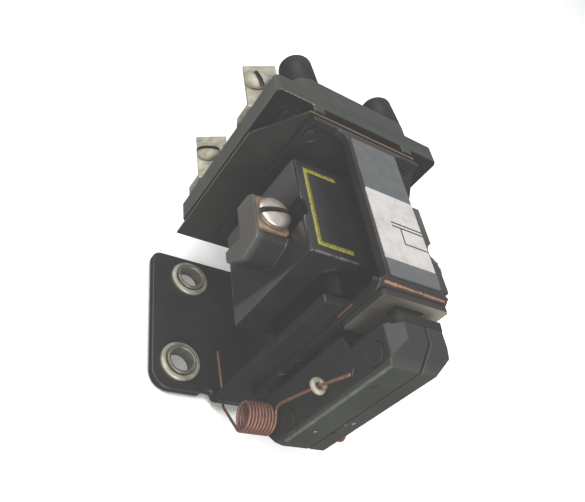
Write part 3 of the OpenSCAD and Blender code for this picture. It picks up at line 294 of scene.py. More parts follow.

# on the carrier the left chamfer carries a painted highlight, paler along its length, with dark pits and pale
# chips beside it
carrierMarksAndHighlight = [((-6.7, -35.7, 19.5), (-6.7, -35.7, 50.5), 0.6, 1.4, 0.1, 0.7, "5b5f58"),
                ((-5.3, -35.9, 43.7), (-4.6, -35.9, 44.7), 0.6, 1.5, 0.15, 0.3, "0c0d0b"),
                ((0.2, -35.9, 25.0), (0.4, -35.9, 25.9), 0.5, 1.5, 0.15, 0.3, "0c0d0b"),
                ((-4.0, -35.9, 25.1), (-3.8, -35.9, 25.3), 0.4, 0.7, 0.15, 0.3, "8d908a"),
                ((1.4, -35.9, 30.3), (1.6, -35.9, 30.6), 0.35, 0.7, 0.15, 0.3, "8d908a"),
                ((-0.2, -35.9, 28.9), (0.3, -35.9, 29.3), 0.5, 0.7, 0.15, 0.4, "6b6650"),
                ((-7.5, -32.3, 42.9), (-7.5, -33.2, 42.2), 0.35, 0.8, 0.15, 0.5, "565954")]
carrierShade = {"untouched": -35.7, "painted_shade": -34.2, "most": 0.7}  # heights in mm; painted shade grows upwards between them, the lower face left paler as if lit from below
carrierPhenolic = copyFinish(phenolic, "moulded phenolic, handled")
tree, skin, spot, colour = openFinish(carrierPhenolic)
# painted shade: the carrier is darker above its lower face
height = addNode(tree, "SeparateXYZ", {}, [("Vector", spot)]).outputs["Y"]
shadedAbove = addNode(tree, "MapRange", {"From Min": carrierShade["untouched"] * mm,
                                   "From Max": carrierShade["painted_shade"] * mm,
                                   "To Max": carrierShade["most"]}, [("Value", height)])
colour = over(tree, shadedAbove, colour, "0f110e")
plug(tree, skin, [("Base Color", mark(tree, spot, colour, carrierMarksAndHighlight))])

# the posts are of a blacker batch, with less bloom
postPhenolic = copyFinish(phenolic, "moulded phenolic, black", ("0b0e0b", "121511"),
                          [("Specular IOR Level", 0.25)])

# cast potting resin: black brown, smooth with a soft gloss, scuffed paler on the corners, with painted light
# on its side walls
resin, tree, skin, spot = startFinish("cast black resin")
cloud = addNode(tree, "TexNoise", {"Scale": 1000 / 6, "Detail": 5.0}, [("Vector", spot)])
stretch = addNode(tree, "Mapping", {"Scale": (1.0, 0.18, 1.0), "Rotation": (0.0, 0.0, 0.5)},
                  [("Vector", spot)])
scratch = addNode(tree, "TexNoise", {"Scale": 1000 / 0.5, "Detail": 2.0}, [("Vector", stretch)])
tone = addNode(tree, "ValToRGB", {"stops": [(0.3, "141313"), (0.7, "1d1b1b")]}, [("Fac", cloud)])
scuff = addNode(tree, "MapRange", {"From Min": 0.66, "From Max": 0.76, "To Max": 0.3}, [("Value", scratch)])
colour = over(tree, scuff, tone, "353230")
colour = over(tree, settledDirt(tree, spot, 3.0, 3, 0.45), colour, "1d1b18")
colour = over(tree, wornEdges(tree, spot, 0.8, 2.0, 0.2, 0.38), colour, "5a5350")
where = addNode(tree, "SeparateXYZ", {}, [("Vector", spot)])
offX = addNode(tree, "Math", {"operation": "ABSOLUTE"}, [(0, where.outputs["X"])])
slant = addNode(tree, "Math", {"operation": "MULTIPLY_ADD", 1: 0.2},  # a height that leans with depth
                [(0, where.outputs["Z"]), (2, where.outputs["Y"])])
# painted light: the towers' outer faces, the top of the coil's side walls and a slanting strip along their
# bottom, below the towers' shadow, are laid paler
paintedLight = [  # sockets, each with where it starts and is whole in mm; how much; colour
    ([(offX, 22.4, 24.3)], 0.6, "5a5854"),
    ([(offX, 17.0, 17.1), (where.outputs["Y"], 0.0, 6.0)], 0.4, "5b5956"),
    ([(offX, 17.0, 17.1), (slant, -3.8, -4.6)], 0.38, "57565a")]
coilMarks = [((-16.0, -12.7, 48.6), (-6.0, -12.7, 48.6), 0.5, 1.0, 0.2, 0.6, "77706c")]
colour = mark(tree, spot, colour, coilMarks)
for limits, most, code in paintedLight:
    mask = addNode(tree, "Value", {})
    mask.outputs[0].default_value = most
    for socket, start, whole in limits:
        part = addNode(tree, "MapRange", {"From Min": start * mm, "From Max": whole * mm},
                       [("Value", socket)])
        mask = addNode(tree, "Math", {"operation": "MULTIPLY"}, [(0, part), (1, mask)])
    colour = over(tree, mask, colour, code)
gloss = addNode(tree, "MapRange", {"To Min": 0.24, "To Max": 0.42}, [("Value", cloud)])
bump = addNode(tree, "Bump", {"Strength": 0.08, "Distance": 0.05 * mm}, [("Height", scratch)])
plug(tree, skin, [("Base Color", colour), ("Roughness", gloss), ("Normal", bump)])

# the same on the coil's collar and in the hollows behind its screws, dull and near black: painted shade
collarResin = copyFinish(resin, "cast black resin, sooty", constants=[("Specular IOR Level", 0.05)])
tree, skin, spot = openFinish(collarResin)[:3]
shadeCloud = addNode(tree, "TexNoise", {"Scale": 1000 / 4, "Detail": 4.0}, [("Vector", spot)])
tone = addNode(tree, "ValToRGB", {"stops": [(0.3, "070707"), (0.7, "0d0c0b")]}, [("Fac", shadeCloud)])
plug(tree, skin, [("Base Color", tone)])

# barrel nickel plate: warm grey metal, brown grime where a finger never rubs
nickel, tree, skin, spot = startFinish("barrel nickel plate")
cloud = addNode(tree, "TexNoise", {"Scale": 1000 / 2.5, "Detail": 6.0, "Roughness": 0.6}, [("Vector", spot)])
fine = addNode(tree, "TexNoise", {"Scale": 1000 / 0.35, "Detail": 2.0}, [("Vector", spot)])
tone = addNode(tree, "ValToRGB", {"stops": [(0.3, "ab9d8b"), (0.48, "d0c6bb"), (0.72, "e4dcd4")]},
               [("Fac", cloud)])
grime = settledDirt(tree, spot, 0.6, 1.5, 0.9)
colour = over(tree, grime, tone, "4a3a28")
untouched = addNode(tree, "MapRange", {"To Min": 1.0, "To Max": 0.25}, [("Value", grime)])
rough = addNode(tree, "MapRange", {"To Min": 0.35, "To Max": 0.6}, [("Value", cloud)])
bump = addNode(tree, "Bump", {"Strength": 0.12, "Distance": 0.04 * mm}, [("Height", fine)])
plug(tree, skin, [("Base Color", colour), ("Metallic", untouched), ("Roughness", rough), ("Normal", bump)])

# the same on the terminals and the eyelets' washers, stained brown by age
stainedNickel = copyFinish(nickel, "barrel nickel plate, stained", ("706d5c", "9c9988", "bab6a7"),
                           [("Metallic", 0.55)])

# the terminal screws and the spring's eye are dull and a little stained
dullNickel = copyFinish(nickel, "barrel nickel plate, dull", ("7d7864", "a19c8b", "b8b3a4"),
                        [("Metallic", 0.5), ("Roughness", 0.6), ("Specular IOR Level", 0.3)])

# dull stamped brass: brown gold, stained darker in patches
brass, tree, skin, spot = startFinish("stamped brass", metallic=1.0)
stain = addNode(tree, "TexNoise", {"Scale": 1000 / 1.8, "Detail": 6.0, "Roughness": 0.65},
                [("Vector", spot)])
tone = addNode(tree, "ValToRGB", {"stops": [(0.3, "66543f"), (0.72, "94795f")]}, [("Fac", stain)])
colour = over(tree, settledDirt(tree, spot, 1.5, 1.5, 0.9), tone, "43352a")
rough = addNode(tree, "MapRange", {"To Min": 0.34, "To Max": 0.58}, [("Value", stain)])
bump = addNode(tree, "Bump", {"Strength": 0.15, "Distance": 0.04 * mm}, [("Height", stain)])
plug(tree, skin, [("Base Color", colour), ("Roughness", rough), ("Normal", bump)])

# the coil clips' brass is brighter, rubbed by the wires
clipBrass = copyFinish(brass, "stamped brass, rubbed", ("7a6650", "b4987c"), [("Metallic", 0.7)])

# the eyelets' brass is tarnished to an olive grey
dullBrass = copyFinish(brass, "rolled brass, tarnished", ("57554a", "85826f"), [("Metallic", 0.6)])

# old grease and dust in the screw slots
grease, tree, skin, spot = startFinish("grease and dust", roughness=0.7)
clot = addNode(tree, "TexNoise", {"Scale": 1000 / 0.4, "Detail": 4.0}, [("Vector", spot)])
tone = addNode(tree, "ValToRGB", {"stops": [(0.3, "1f1a14"), (0.7, "3d3225")]}, [("Fac", clot)])
plug(tree, skin, [("Base Color", tone)])

# drawn copper wire: pink brown metal, finely pitted, tarnished in spots
copper, tree, skin, spot = startFinish("drawn copper wire", metallic=0.6)
spots = addNode(tree, "TexNoise", {"Scale": 1000 / 0.9, "Detail": 5.0, "Roughness": 0.6}, [("Vector", spot)])
tone = addNode(tree, "ValToRGB", {"stops": [(0.3, "6b4a3d"), (0.7, "926857")]}, [("Fac", spots)])
colour = over(tree, settledDirt(tree, spot, 0.5, 1.2, 0.7), tone, "4a2c20")
rough = addNode(tree, "MapRange", {"To Min": 0.45, "To Max": 0.6}, [("Value", spots)])
bump = addNode(tree, "Bump", {"Strength": 0.1, "Distance": 0.02 * mm}, [("Height", spots)])
plug(tree, skin, [("Base Color", colour), ("Roughness", rough), ("Normal", bump)])

# ground steel under brown lacquer: fine grinding lines along the part, brown where the lacquer is thick
lacquered, tree, skin, spot = startFinish("ground steel, brown lacquer", metallic=0.35)
along = addNode(tree, "Mapping", {"Scale": (1.0, 1.0, 0.06)}, [("Vector", spot)])
ground = addNode(tree, "TexNoise", {"Scale": 1000 / 0.4, "Detail": 2.0}, [("Vector", along)])
thick = addNode(tree, "TexNoise", {"Scale": 1000 / 5, "Detail": 5.0}, [("Vector", spot)])
tone = addNode(tree, "ValToRGB", {"stops": [(0.3, "47433b"), (0.7, "57524a")]}, [("Fac", thick)])
colour = over(tree, settledDirt(tree, spot, 2.0, 2, 0.7), tone, "2e2720")
rough = addNode(tree, "MapRange", {"To Min": 0.52, "To Max": 0.7}, [("Value", ground)])
bump = addNode(tree, "Bump", {"Strength": 0.12, "Distance": 0.03 * mm}, [("Height", ground)])
plug(tree, skin, [("Base Color", colour), ("Roughness", rough), ("Normal", bump)])

# the pole plate's lower face carries painted light growing towards its right end; its other faces carry
# painted shade, near black
poleLight = {"start": -6.0, "whole": 7.0, "most": 0.6}  # places across it in mm
poleLitFace = copyFinish(lacquered, "ground steel, wiped")
tree, skin, spot, colour = openFinish(poleLitFace)
across = addNode(tree, "SeparateXYZ", {}, [("Vector", spot)])  # its first output is X
paintedBright = addNode(tree, "MapRange", {"From Min": poleLight["start"] * mm, "From Max": poleLight["whole"] * mm,
                                   "To Max": poleLight["most"]}, [("Value", across)])
plug(tree, skin, [("Base Color", over(tree, paintedBright, colour, "a79d8c"))])
poleShadedEdges = copyFinish(lacquered, "ground steel, painted_dark", ("23211c", "2d2a24"))

# the armature plate and the core are darker, oiled and dusty
oiled = copyFinish(lacquered, "ground steel, oiled", ("1f1e1c", "2a2826"), [("Specular IOR Level", 0.2)])

# turned bare steel: grey, oily, with brown freckles of rust
steel, tree, skin, spot = startFinish("turned bare steel", metallic=1.0)
freckle = addNode(tree, "TexNoise", {"Scale": 1000 / 0.8, "Detail": 5.0, "Roughness": 0.7},
                  [("Vector", spot)])
tone = addNode(tree, "ValToRGB", {"stops": [(0.35, "97948e"), (0.6, "8b857c"), (0.78, "6a5442")]},
               [("Fac", freckle)])
colour = over(tree, settledDirt(tree, spot, 1.4, 1.5, 0.8), tone, "33291f")
rough = addNode(tree, "MapRange", {"To Min": 0.28, "To Max": 0.55}, [("Value", freckle)])
plug(tree, skin, [("Base Color", colour), ("Roughness", rough)])

# fine silver rivet: white metal, softly dented by arcing
silver, tree, skin, spot = startFinish("fine silver", metallic=1.0, roughness=0.25)
arc = addNode(tree, "TexNoise", {"Scale": 1000 / 0.5, "Detail": 4.0}, [("Vector", spot)])
tone = addNode(tree, "ValToRGB", {"stops": [(0.35, "b9b7b0"), (0.65, "e4e2dc")]}, [("Fac", arc)])
bump = addNode(tree, "Bump", {"Strength": 0.2, "Distance": 0.04 * mm}, [("Height", arc)])
plug(tree, skin, [("Base Color", tone), ("Normal", bump)])

# vulcanised fibre sheet: tan, with cut edges that show its layers
fibre, tree, skin, spot = startFinish("vulcanised fibre", roughness=0.6)
layer = addNode(tree, "Mapping", {"Scale": (0.2, 6.0, 0.2)}, [("Vector", spot)])
ply = addNode(tree, "TexNoise", {"Scale": 1000 / 0.8, "Detail": 4.0}, [("Vector", layer)])
tone = addNode(tree, "ValToRGB", {"stops": [(0.3, "4f3c24"), (0.7, "7c5f3d")]}, [("Fac", ply)])
bump = addNode(tree, "Bump", {"Strength": 0.2, "Distance": 0.05 * mm}, [("Height", ply)])
plug(tree, skin, [("Base Color", tone), ("Normal", bump)])

# the sheet's side edges are dirty
dimFibre = copyFinish(fibre, "vulcanised fibre, dirty", ("3f3826", "574d36"))

# the sheet's faces are varnished black
varnish, tree, skin, spot = startFinish("black varnish on fibre", roughness=0.45)
brush = addNode(tree, "TexNoise", {"Scale": 1000 / 5, "Detail": 5.0}, [("Vector", spot)])
tone = addNode(tree, "ValToRGB", {"stops": [(0.3, "1b1a17"), (0.7, "25231f")]}, [("Fac", brush)])
bump = addNode(tree, "Bump", {"Strength": 0.1, "Distance": 0.05 * mm}, [("Height", brush)])
plug(tree, skin, [("Base Color", tone), ("Normal", bump)])

# screen ink: opaque yellow, worn thin so that the black shows through in grains
ink, tree, skin, spot = startFinish("screen ink, yellow", roughness=0.5)
grain = addNode(tree, "TexNoise", {"Scale": 1000 / 0.5, "Detail": 4.0}, [("Vector", spot)])
tone = addNode(tree, "ValToRGB", {"stops": [(0.34, "4b4726"), (0.46, "7f7a20"), (0.66, "8f8a24")]},
               [("Fac", grain)])
bump = addNode(tree, "Bump", {"Strength": 0.1, "Distance": 0.02 * mm}, [("Height", grain)])
plug(tree, skin, [("Base Color", tone), ("Normal", bump)])

# red sealing paint: a thick drop, cracked and dirty
seal, tree, skin, spot = startFinish("red sealing paint", roughness=0.45)
crack = addNode(tree, "TexNoise", {"Scale": 1000 / 0.6, "Detail": 4.0}, [("Vector", spot)])
tone = addNode(tree, "ValToRGB", {"stops": [(0.35, "45231f"), (0.65, "76352e")]}, [("Fac", crack)])
bump = addNode(tree, "Bump", {"Strength": 0.3, "Distance": 0.05 * mm}, [("Height", crack)])
plug(tree, skin, [("Base Color", tone), ("Normal", bump)])

# printed foil: a grey head band, a white field with a blank box, a grey foot band; satin with fine dirt
foilPrint = {"top": 16.1, "foot": -20.3, "headShare": 0.405, "footShare": 0.893,
             "rules": [  # centre x, centre y, half width, half height in mm
                 (2.1, -6.4, 4.1, 0.2), (2.1, -7.3, 4.1, 0.2), (0.2, -9.3, 0.18, 2.0),
                 (3.2, -11.3, 3.1, 0.18)]}
foil, tree, skin, spot = startFinish("printed foil")
where = addNode(tree, "SeparateXYZ", {}, [("Vector", spot)])
down = addNode(tree, "MapRange", {"From Min": foilPrint["top"] * mm,
                                  "From Max": foilPrint["foot"] * mm},
               [("Value", where.outputs["Y"])])
colour = addNode(tree, "ValToRGB", {"stops": [(0.0, "4b4f52"), (foilPrint["headShare"], "c0bdba"),
                                              (foilPrint["footShare"], "515355")]}, [("Fac", down)])
colour.color_ramp.interpolation = "CONSTANT"
for x, y, halfX, halfY in foilPrint["rules"]:
    inX = addNode(tree, "Math", {"operation": "COMPARE", 1: x * mm, 2: halfX * mm},
                  [(0, where.outputs["X"])])
    inY = addNode(tree, "Math", {"operation": "COMPARE", 1: y * mm, 2: halfY * mm},
                  [(0, where.outputs["Y"])])
    inside = addNode(tree, "Math", {"operation": "MULTIPLY"}, [(0, inX), (1, inY)])
    colour = over(tree, inside, colour, "242423")
smear = addNode(tree, "TexNoise", {"Scale": 1000 / 3, "Detail": 6.0, "Roughness": 0.65}, [("Vector", spot)])
dirt = addNode(tree, "MapRange", {"From Min": 0.45, "From Max": 0.8, "To Max": 0.5}, [("Value", smear)])
colour = over(tree, dirt, colour, "6f6a60")
rough = addNode(tree, "MapRange", {"To Min": 0.34, "To Max": 0.55}, [("Value", smear)])
plug(tree, skin, [("Base Color", colour), ("Roughness", rough)])

# matt paper for the floor, which glows a little, with a painted contact shadow where the plate lies
paper, tree, skin, spot = startFinish("matt paper", roughness=0.9)
skin.inputs["Emission Color"].default_value = linear("ffffff")
skin.inputs["Emission Strength"].default_value = studio["glow"]
tooth = addNode(tree, "TexNoise", {"Scale": 1000 / 60, "Detail": 2.0}, [("Vector", spot)])
tone = addNode(tree, "ValToRGB", {"stops": [(0.0, studio["floor"]), (1.0, "fcfcfb")]}, [("Fac", tooth)])
under = addNode(tree, "AmbientOcclusion", {"samples": 8, "Distance": 5 * mm})
deep = addNode(tree, "MapRange", {"From Min": 0.6, "From Max": 0.5}, [("Value", under.outputs["AO"])])
colour = over(tree, deep, tone, "4a4739")  # painted contact shadow, dark in the eyelets' bores
plug(tree, skin, [("Base Color", colour)])
print("stage: finishes")


# making pieces
weld = {"cad": 0.0005, "turned": 0.001, "flat": 0.4}  # distances in mm, degrees that still count as flat
roundSteps = 56  # corners of a turned ring


def makePiece(name, bm):
    bmesh.ops.recalc_face_normals(bm, faces=bm.faces)
    mesh = bpy.data.meshes.new(name)
    bm.to_mesh(mesh)
    bm.free()
    mesh.shade_smooth()
    piece = bpy.data.objects.new(name, mesh)
    bpy.context.collection.objects.link(piece)
    return piece


def bake(piece):
    # the modifiers' result becomes the piece's own mesh
    evaluated = piece.evaluated_get(bpy.context.evaluated_depsgraph_get())
    mesh = bpy.data.meshes.new_from_object(evaluated)
    piece.modifiers.clear()
    old = piece.data
    piece.data = mesh
    bpy.data.meshes.remove(old)


def softenEdges(piece, width, segments=2, angle=30, sliver=35, joined=None):
    # rounds the sharp edges; where two meet in a sliver the shorter stays sharp, or its bevel runs away
    bm = bmesh.new()
    bm.from_mesh(piece.data)
    weight = bm.edges.layers.float.new("bevel_weight_edge")
    for edge in bm.edges:
        edge[weight] = float(len(edge.link_faces) == 2 and edge.calc_face_angle() > math.radians(angle))
        if edge[weight] and joined and all(joined(v.co / mm) for v in edge.verts):
            edge[weight] = 0.0  # a joint without a groove
            edge.smooth = False
    for face in bm.faces:
        for loop in face.loops:
            pair = (loop.edge, loop.link_loop_prev.edge)
            if all(edge[weight] for edge in pair) and loop.calc_angle() < math.radians(sliver):
                short = min(pair, key=lambda edge: edge.calc_length())
                short[weight] = 0.0
                short.smooth = False
    bm.to_mesh(piece.data)
    bm.free()
    bevel = piece.modifiers.new("edge", "BEVEL")
    bevel.width = width * mm
    bevel.segments = segments
    bevel.limit_method = "WEIGHT"
    bevel.use_clamp_overlap = False
    shade = piece.modifiers.new("shade", "WEIGHTED_NORMAL")
    shade.keep_sharp = True
    low = [min(v.co[k] for v in piece.data.vertices) for k in range(3)]
    high = [max(v.co[k] for v in piece.data.vertices) for k in range(3)]
    bake(piece)
    for v in piece.data.vertices:  # nothing leaves the solid's own box
        v.co = [min(max(v.co[k], low[k]), high[k]) for k in range(3)]


def cut(piece, cutter):
    bite = piece.modifiers.new("cut", "BOOLEAN")
    bite.operation = "DIFFERENCE"
    bite.solver = "EXACT"
    bite.object = cutter
    bake(piece)
    bpy.data.objects.remove(cutter)


def cadShape(name, node):
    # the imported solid's own shape, welded, with its flat faces whole
    bm = bmesh.new()
    bm.from_mesh(nodes[node].data)
    bmesh.ops.remove_doubles(bm, verts=bm.verts, dist=weld["cad"] * mm)
    bmesh.ops.dissolve_limit(bm, angle_limit=math.radians(weld["flat"]), verts=bm.verts, edges=bm.edges)
    return makePiece(name, bm)


def dress(piece, finish):
    piece.data.materials.clear()
    piece.data.materials.append(finish)


def settle(piece, finish, *stoodFor):
    dress(piece, finish)
    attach(piece, bodyOf[stoodFor[0]])
    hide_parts(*stoodFor)


def paintFaces(piece, others, pick):
    # other finishes on the faces that pick gives a number to
    for finish in others:
        piece.data.materials.append(finish)
    for face in piece.data.polygons:
        face.material_index = pick(face)


def turn(bm, profile, place, steps=roundSteps):
    # turns a profile of (radius, height) round the place's own Z
    angles = [2 * math.pi * k / steps for k in range(steps)]
    rings = []
    for radius, height in profile:
        if radius == 0:
            rings.append([bm.verts.new(place @ Vector((0, 0, height * mm)))])
        else:
            ring = [(radius * mm * math.cos(a), radius * mm * math.sin(a), height * mm) for a in angles]
            rings.append([bm.verts.new(place @ Vector(point)) for point in ring])
    for low, high in zip(rings, rings[1:]):
        for k in range(steps):
            corners = [low[k % len(low)], low[(k + 1) % len(low)],
                       high[(k + 1) % len(high)], high[k % len(high)]]
            corners = [c for i, c in enumerate(corners) if c not in corners[:i]]
            if len(corners) > 2:
                bm.faces.new(corners)


def turnedPiece(name, profile, places, steps=roundSteps):
    bm = bmesh.new()
    for place in places:
        turn(bm, profile, place, steps)
    bmesh.ops.remove_doubles(bm, verts=bm.verts, dist=weld["turned"] * mm)
    return makePiece(name, bm)


def roundOff(points, radius, steps=5, most=0.48):
    # a path with its inner corners rounded; no corner takes more than that share of a side
    path = [Vector(points[0])]
    for a, b, c in zip(points, points[1:], points[2:]):
        a, b, c = Vector(a), Vector(b), Vector(c)
        reach = min(radius, most * (a - b).length, most * (c - b).length)
        start = b + (a - b).normalized() * reach
        end = b + (c - b).normalized() * reach
        for k in range(steps + 1):
            t = k / steps
            path.append(start * (1 - t) ** 2 + b * 2 * t * (1 - t) + end * t ** 2)
    return path + [Vector(points[-1])]


def wire(bm, path, radius, sides=12, tip=0.45, narrowed=0.55):
    # a round wire along a path in mm; its tips reach out and narrow by those shares of the radius
    path = [Vector(p) for p in path]
    ways = [(path[min(i + 1, len(path) - 1)] - path[max(i - 1, 0)]).normalized() for i in range(len(path))]
    side = ways[0].orthogonal().normalized()
    angles = [2 * math.pi * k / sides for k in range(sides)]
    rings = []
    stations = [(path[0] - ways[0] * radius * tip, ways[0], narrowed)]
    stations += [(p, w, 1.0) for p, w in zip(path, ways)]
    stations += [(path[-1] + ways[-1] * radius * tip, ways[-1], narrowed)]
    for centre, way, share in stations:
        side = (side - way * side.dot(way)).normalized()
        other = way.cross(side)
        spokes = [side * math.cos(a) + other * math.sin(a) for a in angles]
        rings.append([bm.verts.new((centre + spoke * radius * share) * mm) for spoke in spokes])
    for low, high in zip(rings, rings[1:]):
        for k in range(sides):
            bm.faces.new([low[k], low[(k + 1) % sides], high[(k + 1) % sides], high[k]])
    bm.faces.new(rings[0][::-1])
    bm.faces.new(rings[-1])


def addBox(bm, low, high, place=None):
    centre = (Vector(low) + Vector(high)) / 2 * mm
    size = (Vector(high) - Vector(low)) * mm
    for v in bmesh.ops.create_cube(bm, size=1.0)["verts"]:
        v.co = v.co * size + centre
        if place:
            v.co = place @ v.co


def facing(place, normal, spin=0.0):
    # a matrix that stands on a place in mm, its Z along the normal
    turnTo = Vector(normal).to_track_quat("Z", "Y").to_matrix().to_4x4()
    return Matrix.Translation(Vector(place) * mm) @ turnTo @ Matrix.Rotation(math.radians(spin), 4, "Z")


# pressed and ground steel: radius and segments of the edges, finish
pressed = {"mounting_plate": (0.45, 3, enamel), "yoke_frame": (0.35, 3, yokeEnamel),
           "hinge_bracket": (0.3, 2, enamel), "front_pole_plate": (0.2, 2, poleShadedEdges),
           "core": (0.15, 2, oiled), "armature_plate": (0.2, 2, oiled)}
ear = {"strap": 6.75, "side": 8.5, "out": 10.0, "low": -22.8, "under": -21.35, "high": -18.8,
       "back": 50.0, "front": 56.0}
square = 0.9  # share of its normal from which a flat face counts as square to an axis


def atEar(p):
    return abs(p.x) > ear["strap"] and ear["under"] < p.y < ear["high"] and p.z > ear["back"]


for node, (width, segments, finish) in pressed.items():
    piece = cadShape(node + "_pressed", node)
    if node == "yoke_frame":  # the fillets beside the strap end at the flange's sides
        for side in (-1, 1):
            bm = bmesh.new()
            spans = sorted((side * ear["side"], side * ear["out"]))
            addBox(bm, (spans[0], ear["low"], ear["back"]), (spans[1], ear["high"], ear["front"]))
            cut(piece, makePiece("ear_trim", bm))
    softenEdges(piece, width, segments, joined=atEar if node == "yoke_frame" else None)
    settle(piece, finish, node)
    # painted light on the pole plate's lower face, painted shade on its other faces
    if finish is poleShadedEdges:
        paintFaces(piece, [poleLitFace], lambda face: int(face.normal.y < -square))
print("stage: pressed steel")

# mouldings: radius and segments of the edges, finish
moulded = {"contact_base": (0.35, 2, basePhenolic), "contact_cover": (0.35, 2, phenolic),
           "coil_housing": (0.5, 3, resin), "carrier_left": (0.3, 2, carrierPhenolic),
           "carrier_right": (0.3, 2, carrierPhenolic), "contact_crossbar": (0.2, 2, phenolic),
           "lifter_bar": (0.2, 2, phenolic)}
block = {"seam": 28.3, "top": 32.7, "touch": 0.01,  # heights of the joints, and how near an edge lies to them
         "post": (12.7, 50.8), "reach": 6.0}  # place of the posts, and how far they reach
baseRoom = {"side": 22.0, "front": 54.0, "square": 0.8}  # the base's rooms lie inside these
# the coil's right side stands a little further out than its left one
cheek = {"low": (16.6, -12.9, 20.8), "high": (18.9, 11.5, 48.81), "edge": 0.4, "joint": 0.1,
         "hollow": (20.9, -2.2), "hollowR": 3.8, "seat": 43.1, "cutter": 10.0}
# painted shade lies on the coil's collar and in the hollows of its side walls
coilShade = {"collar": -13.0, "wall": 17.6, "radius": 5.0, "deep": 1.0}


def onJoint(p):
    onSeam = abs(p.y - block["seam"]) < block["touch"]
    onTop = abs(p.y - block["top"]) < block["touch"]
    nearPost = math.hypot(abs(p.x) - block["post"][0], p.z - block["post"][1]) < block["reach"]
    return onSeam or (onTop and nearPost)


# painted shade on the rooms and the lower face, painted light on the upright sides
def baseFinish(face):
    x, y, z = face.center / mm
    inRoom = abs(x) < baseRoom["side"] and z < baseRoom["front"] and y < block["seam"]
    if inRoom or face.normal.y < -baseRoom["square"]:
        return 2
    return int(abs(face.normal.x) > baseRoom["square"])


def coilFinish(face):
    x, y, z = face.center / mm
    off = math.hypot(abs(x) - cheek["hollow"][0], y - cheek["hollow"][1])
    inHollow = off < coilShade["radius"] and abs(x) < coilShade["wall"]
    return int(y < coilShade["collar"] or (inHollow and z > cheek["seat"] - coilShade["deep"]))


for node, (width, segments, finish) in moulded.items():
    piece = cadShape(node + "_moulded", node)
    softenEdges(piece, width, segments, joined=onJoint)
    settle(piece, finish, node)
    if finish is basePhenolic:
        paintFaces(piece, [baseSideLit, baseUnderShaded], baseFinish)
    if finish is resin:
        paintFaces(piece, [collarResin], coilFinish)
bm = bmesh.new()
addBox(bm, cheek["low"], cheek["high"])
piece = makePiece("coil_cheek_right", bm)
bm = bmesh.new()
turn(bm, [(0, 0.0), (cheek["hollowR"], 0.0), (cheek["hollowR"], cheek["cutter"]), (0, cheek["cutter"])],
     Matrix.Translation(Vector((*cheek["hollow"], cheek["seat"])) * mm))
cut(piece, makePiece("cheek_hollow", bm))
softenEdges(piece, cheek["edge"], segments=3, joined=lambda p: p.x < cheek["low"][0] + cheek["joint"])
dress(piece, resin)
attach(piece, "relay_base")
print("stage: mouldings")

# stampings and sheet: radius and segments of the edges, finish
stamped = {"coil_clip_left": (0.15, 2, clipBrass), "coil_clip_right": (0.15, 2, clipBrass),
           "terminal_front_left": (0.2, 2, stainedNickel), "terminal_front_right": (0.2, 2, stainedNickel),
           "terminal_rear_left": (0.2, 2, stainedNickel), "terminal_rear_right": (0.2, 2, stainedNickel),
           "bridge_front": (0.15, 2, brass), "bridge_rear": (0.15, 2, brass),
           "insulating_sheet": (0.05, 2, fibre), "label_plate": (0.06, 2, foil)}
sheetEdge = 0.1  # the sheet's bare front edge is this deep


def sheetFinish(face, front):
    if face.center.z > front and abs(face.normal.y) < square:
        return 0
    return 2 if abs(face.normal.x) > square else 1


for node, (width, segments, finish) in stamped.items():
    piece = cadShape(node + "_stamped", node)
    softenEdges(piece, width, segments)
    settle(piece, finish, node)
    if finish is fibre:
        front = max(v.co.z for v in piece.data.vertices) - sheetEdge * mm
        paintFaces(piece, [varnish, dimFibre], lambda face: sheetFinish(face, front))
print("stage: stampings and sheet")

# eyelets and their washers
eyelet = {"places": [(-17.5, 12.2), (-20.5, -11.8), (17.5, 12.2), (20.5, -11.8)], "bore": 2.75,
          "barrel": 3.35, "mouth": (0.12, 0.15), "round": 0.1, "rollR": 0.42, "rollZ": 3.22, "curl": 225,
          "tuck": 2.8}
washer = {"outline": [(3.5, 2.0), (4.75, 2.0), (4.8, 2.2), (4.8, 2.6), (4.6, 2.85), (3.9, 3.05), (3.7, 2.9),
                      (3.5, 2.85), (3.5, 2.0)], "round": 0.14}
barrel = roundOff([(eyelet["barrel"], 0.0), (eyelet["bore"] + eyelet["mouth"][0], 0.0),
                   (eyelet["bore"], eyelet["mouth"][1]), (eyelet["bore"], eyelet["rollZ"])],
                  eyelet["round"], steps=2)[:-1]
roll = []
for degrees in range(0, eyelet["curl"] + 1, 15):
    a = math.radians(degrees)
    roll.append((eyelet["bore"] + eyelet["rollR"] * (1 - math.cos(a)),
                 eyelet["rollZ"] + eyelet["rollR"] * math.sin(a)))
ringProfile = barrel + roll + [(eyelet["barrel"], eyelet["tuck"]), (eyelet["barrel"], 0.0)]
washerProfile = roundOff(washer["outline"], washer["round"], steps=3)
places = [Matrix.Translation(Vector((x, y, 0)) * mm) for x, y in eyelet["places"]]
settle(turnedPiece("eyelets_rolled", ringProfile, places), dullBrass, "mounting_eyelets")
settle(turnedPiece("washers_cupped", washerProfile, places), stainedNickel, "eyelet_washers")
print("stage: eyelets")


# slotted screws
slotted = {"under": (0.2, 0.15), "domeStep": 9, "edge": 0.07, "sharp": 40,  # shape of the head
           "over": 1.2, "clear": 1.0, "painted": 2.5,  # reach of the slot's cutter, painted length
           "atSlot": 0.51, "atFloor": 0.05, "atTop": 0.1, "atShank": 1.1}  # slack round slot and tip


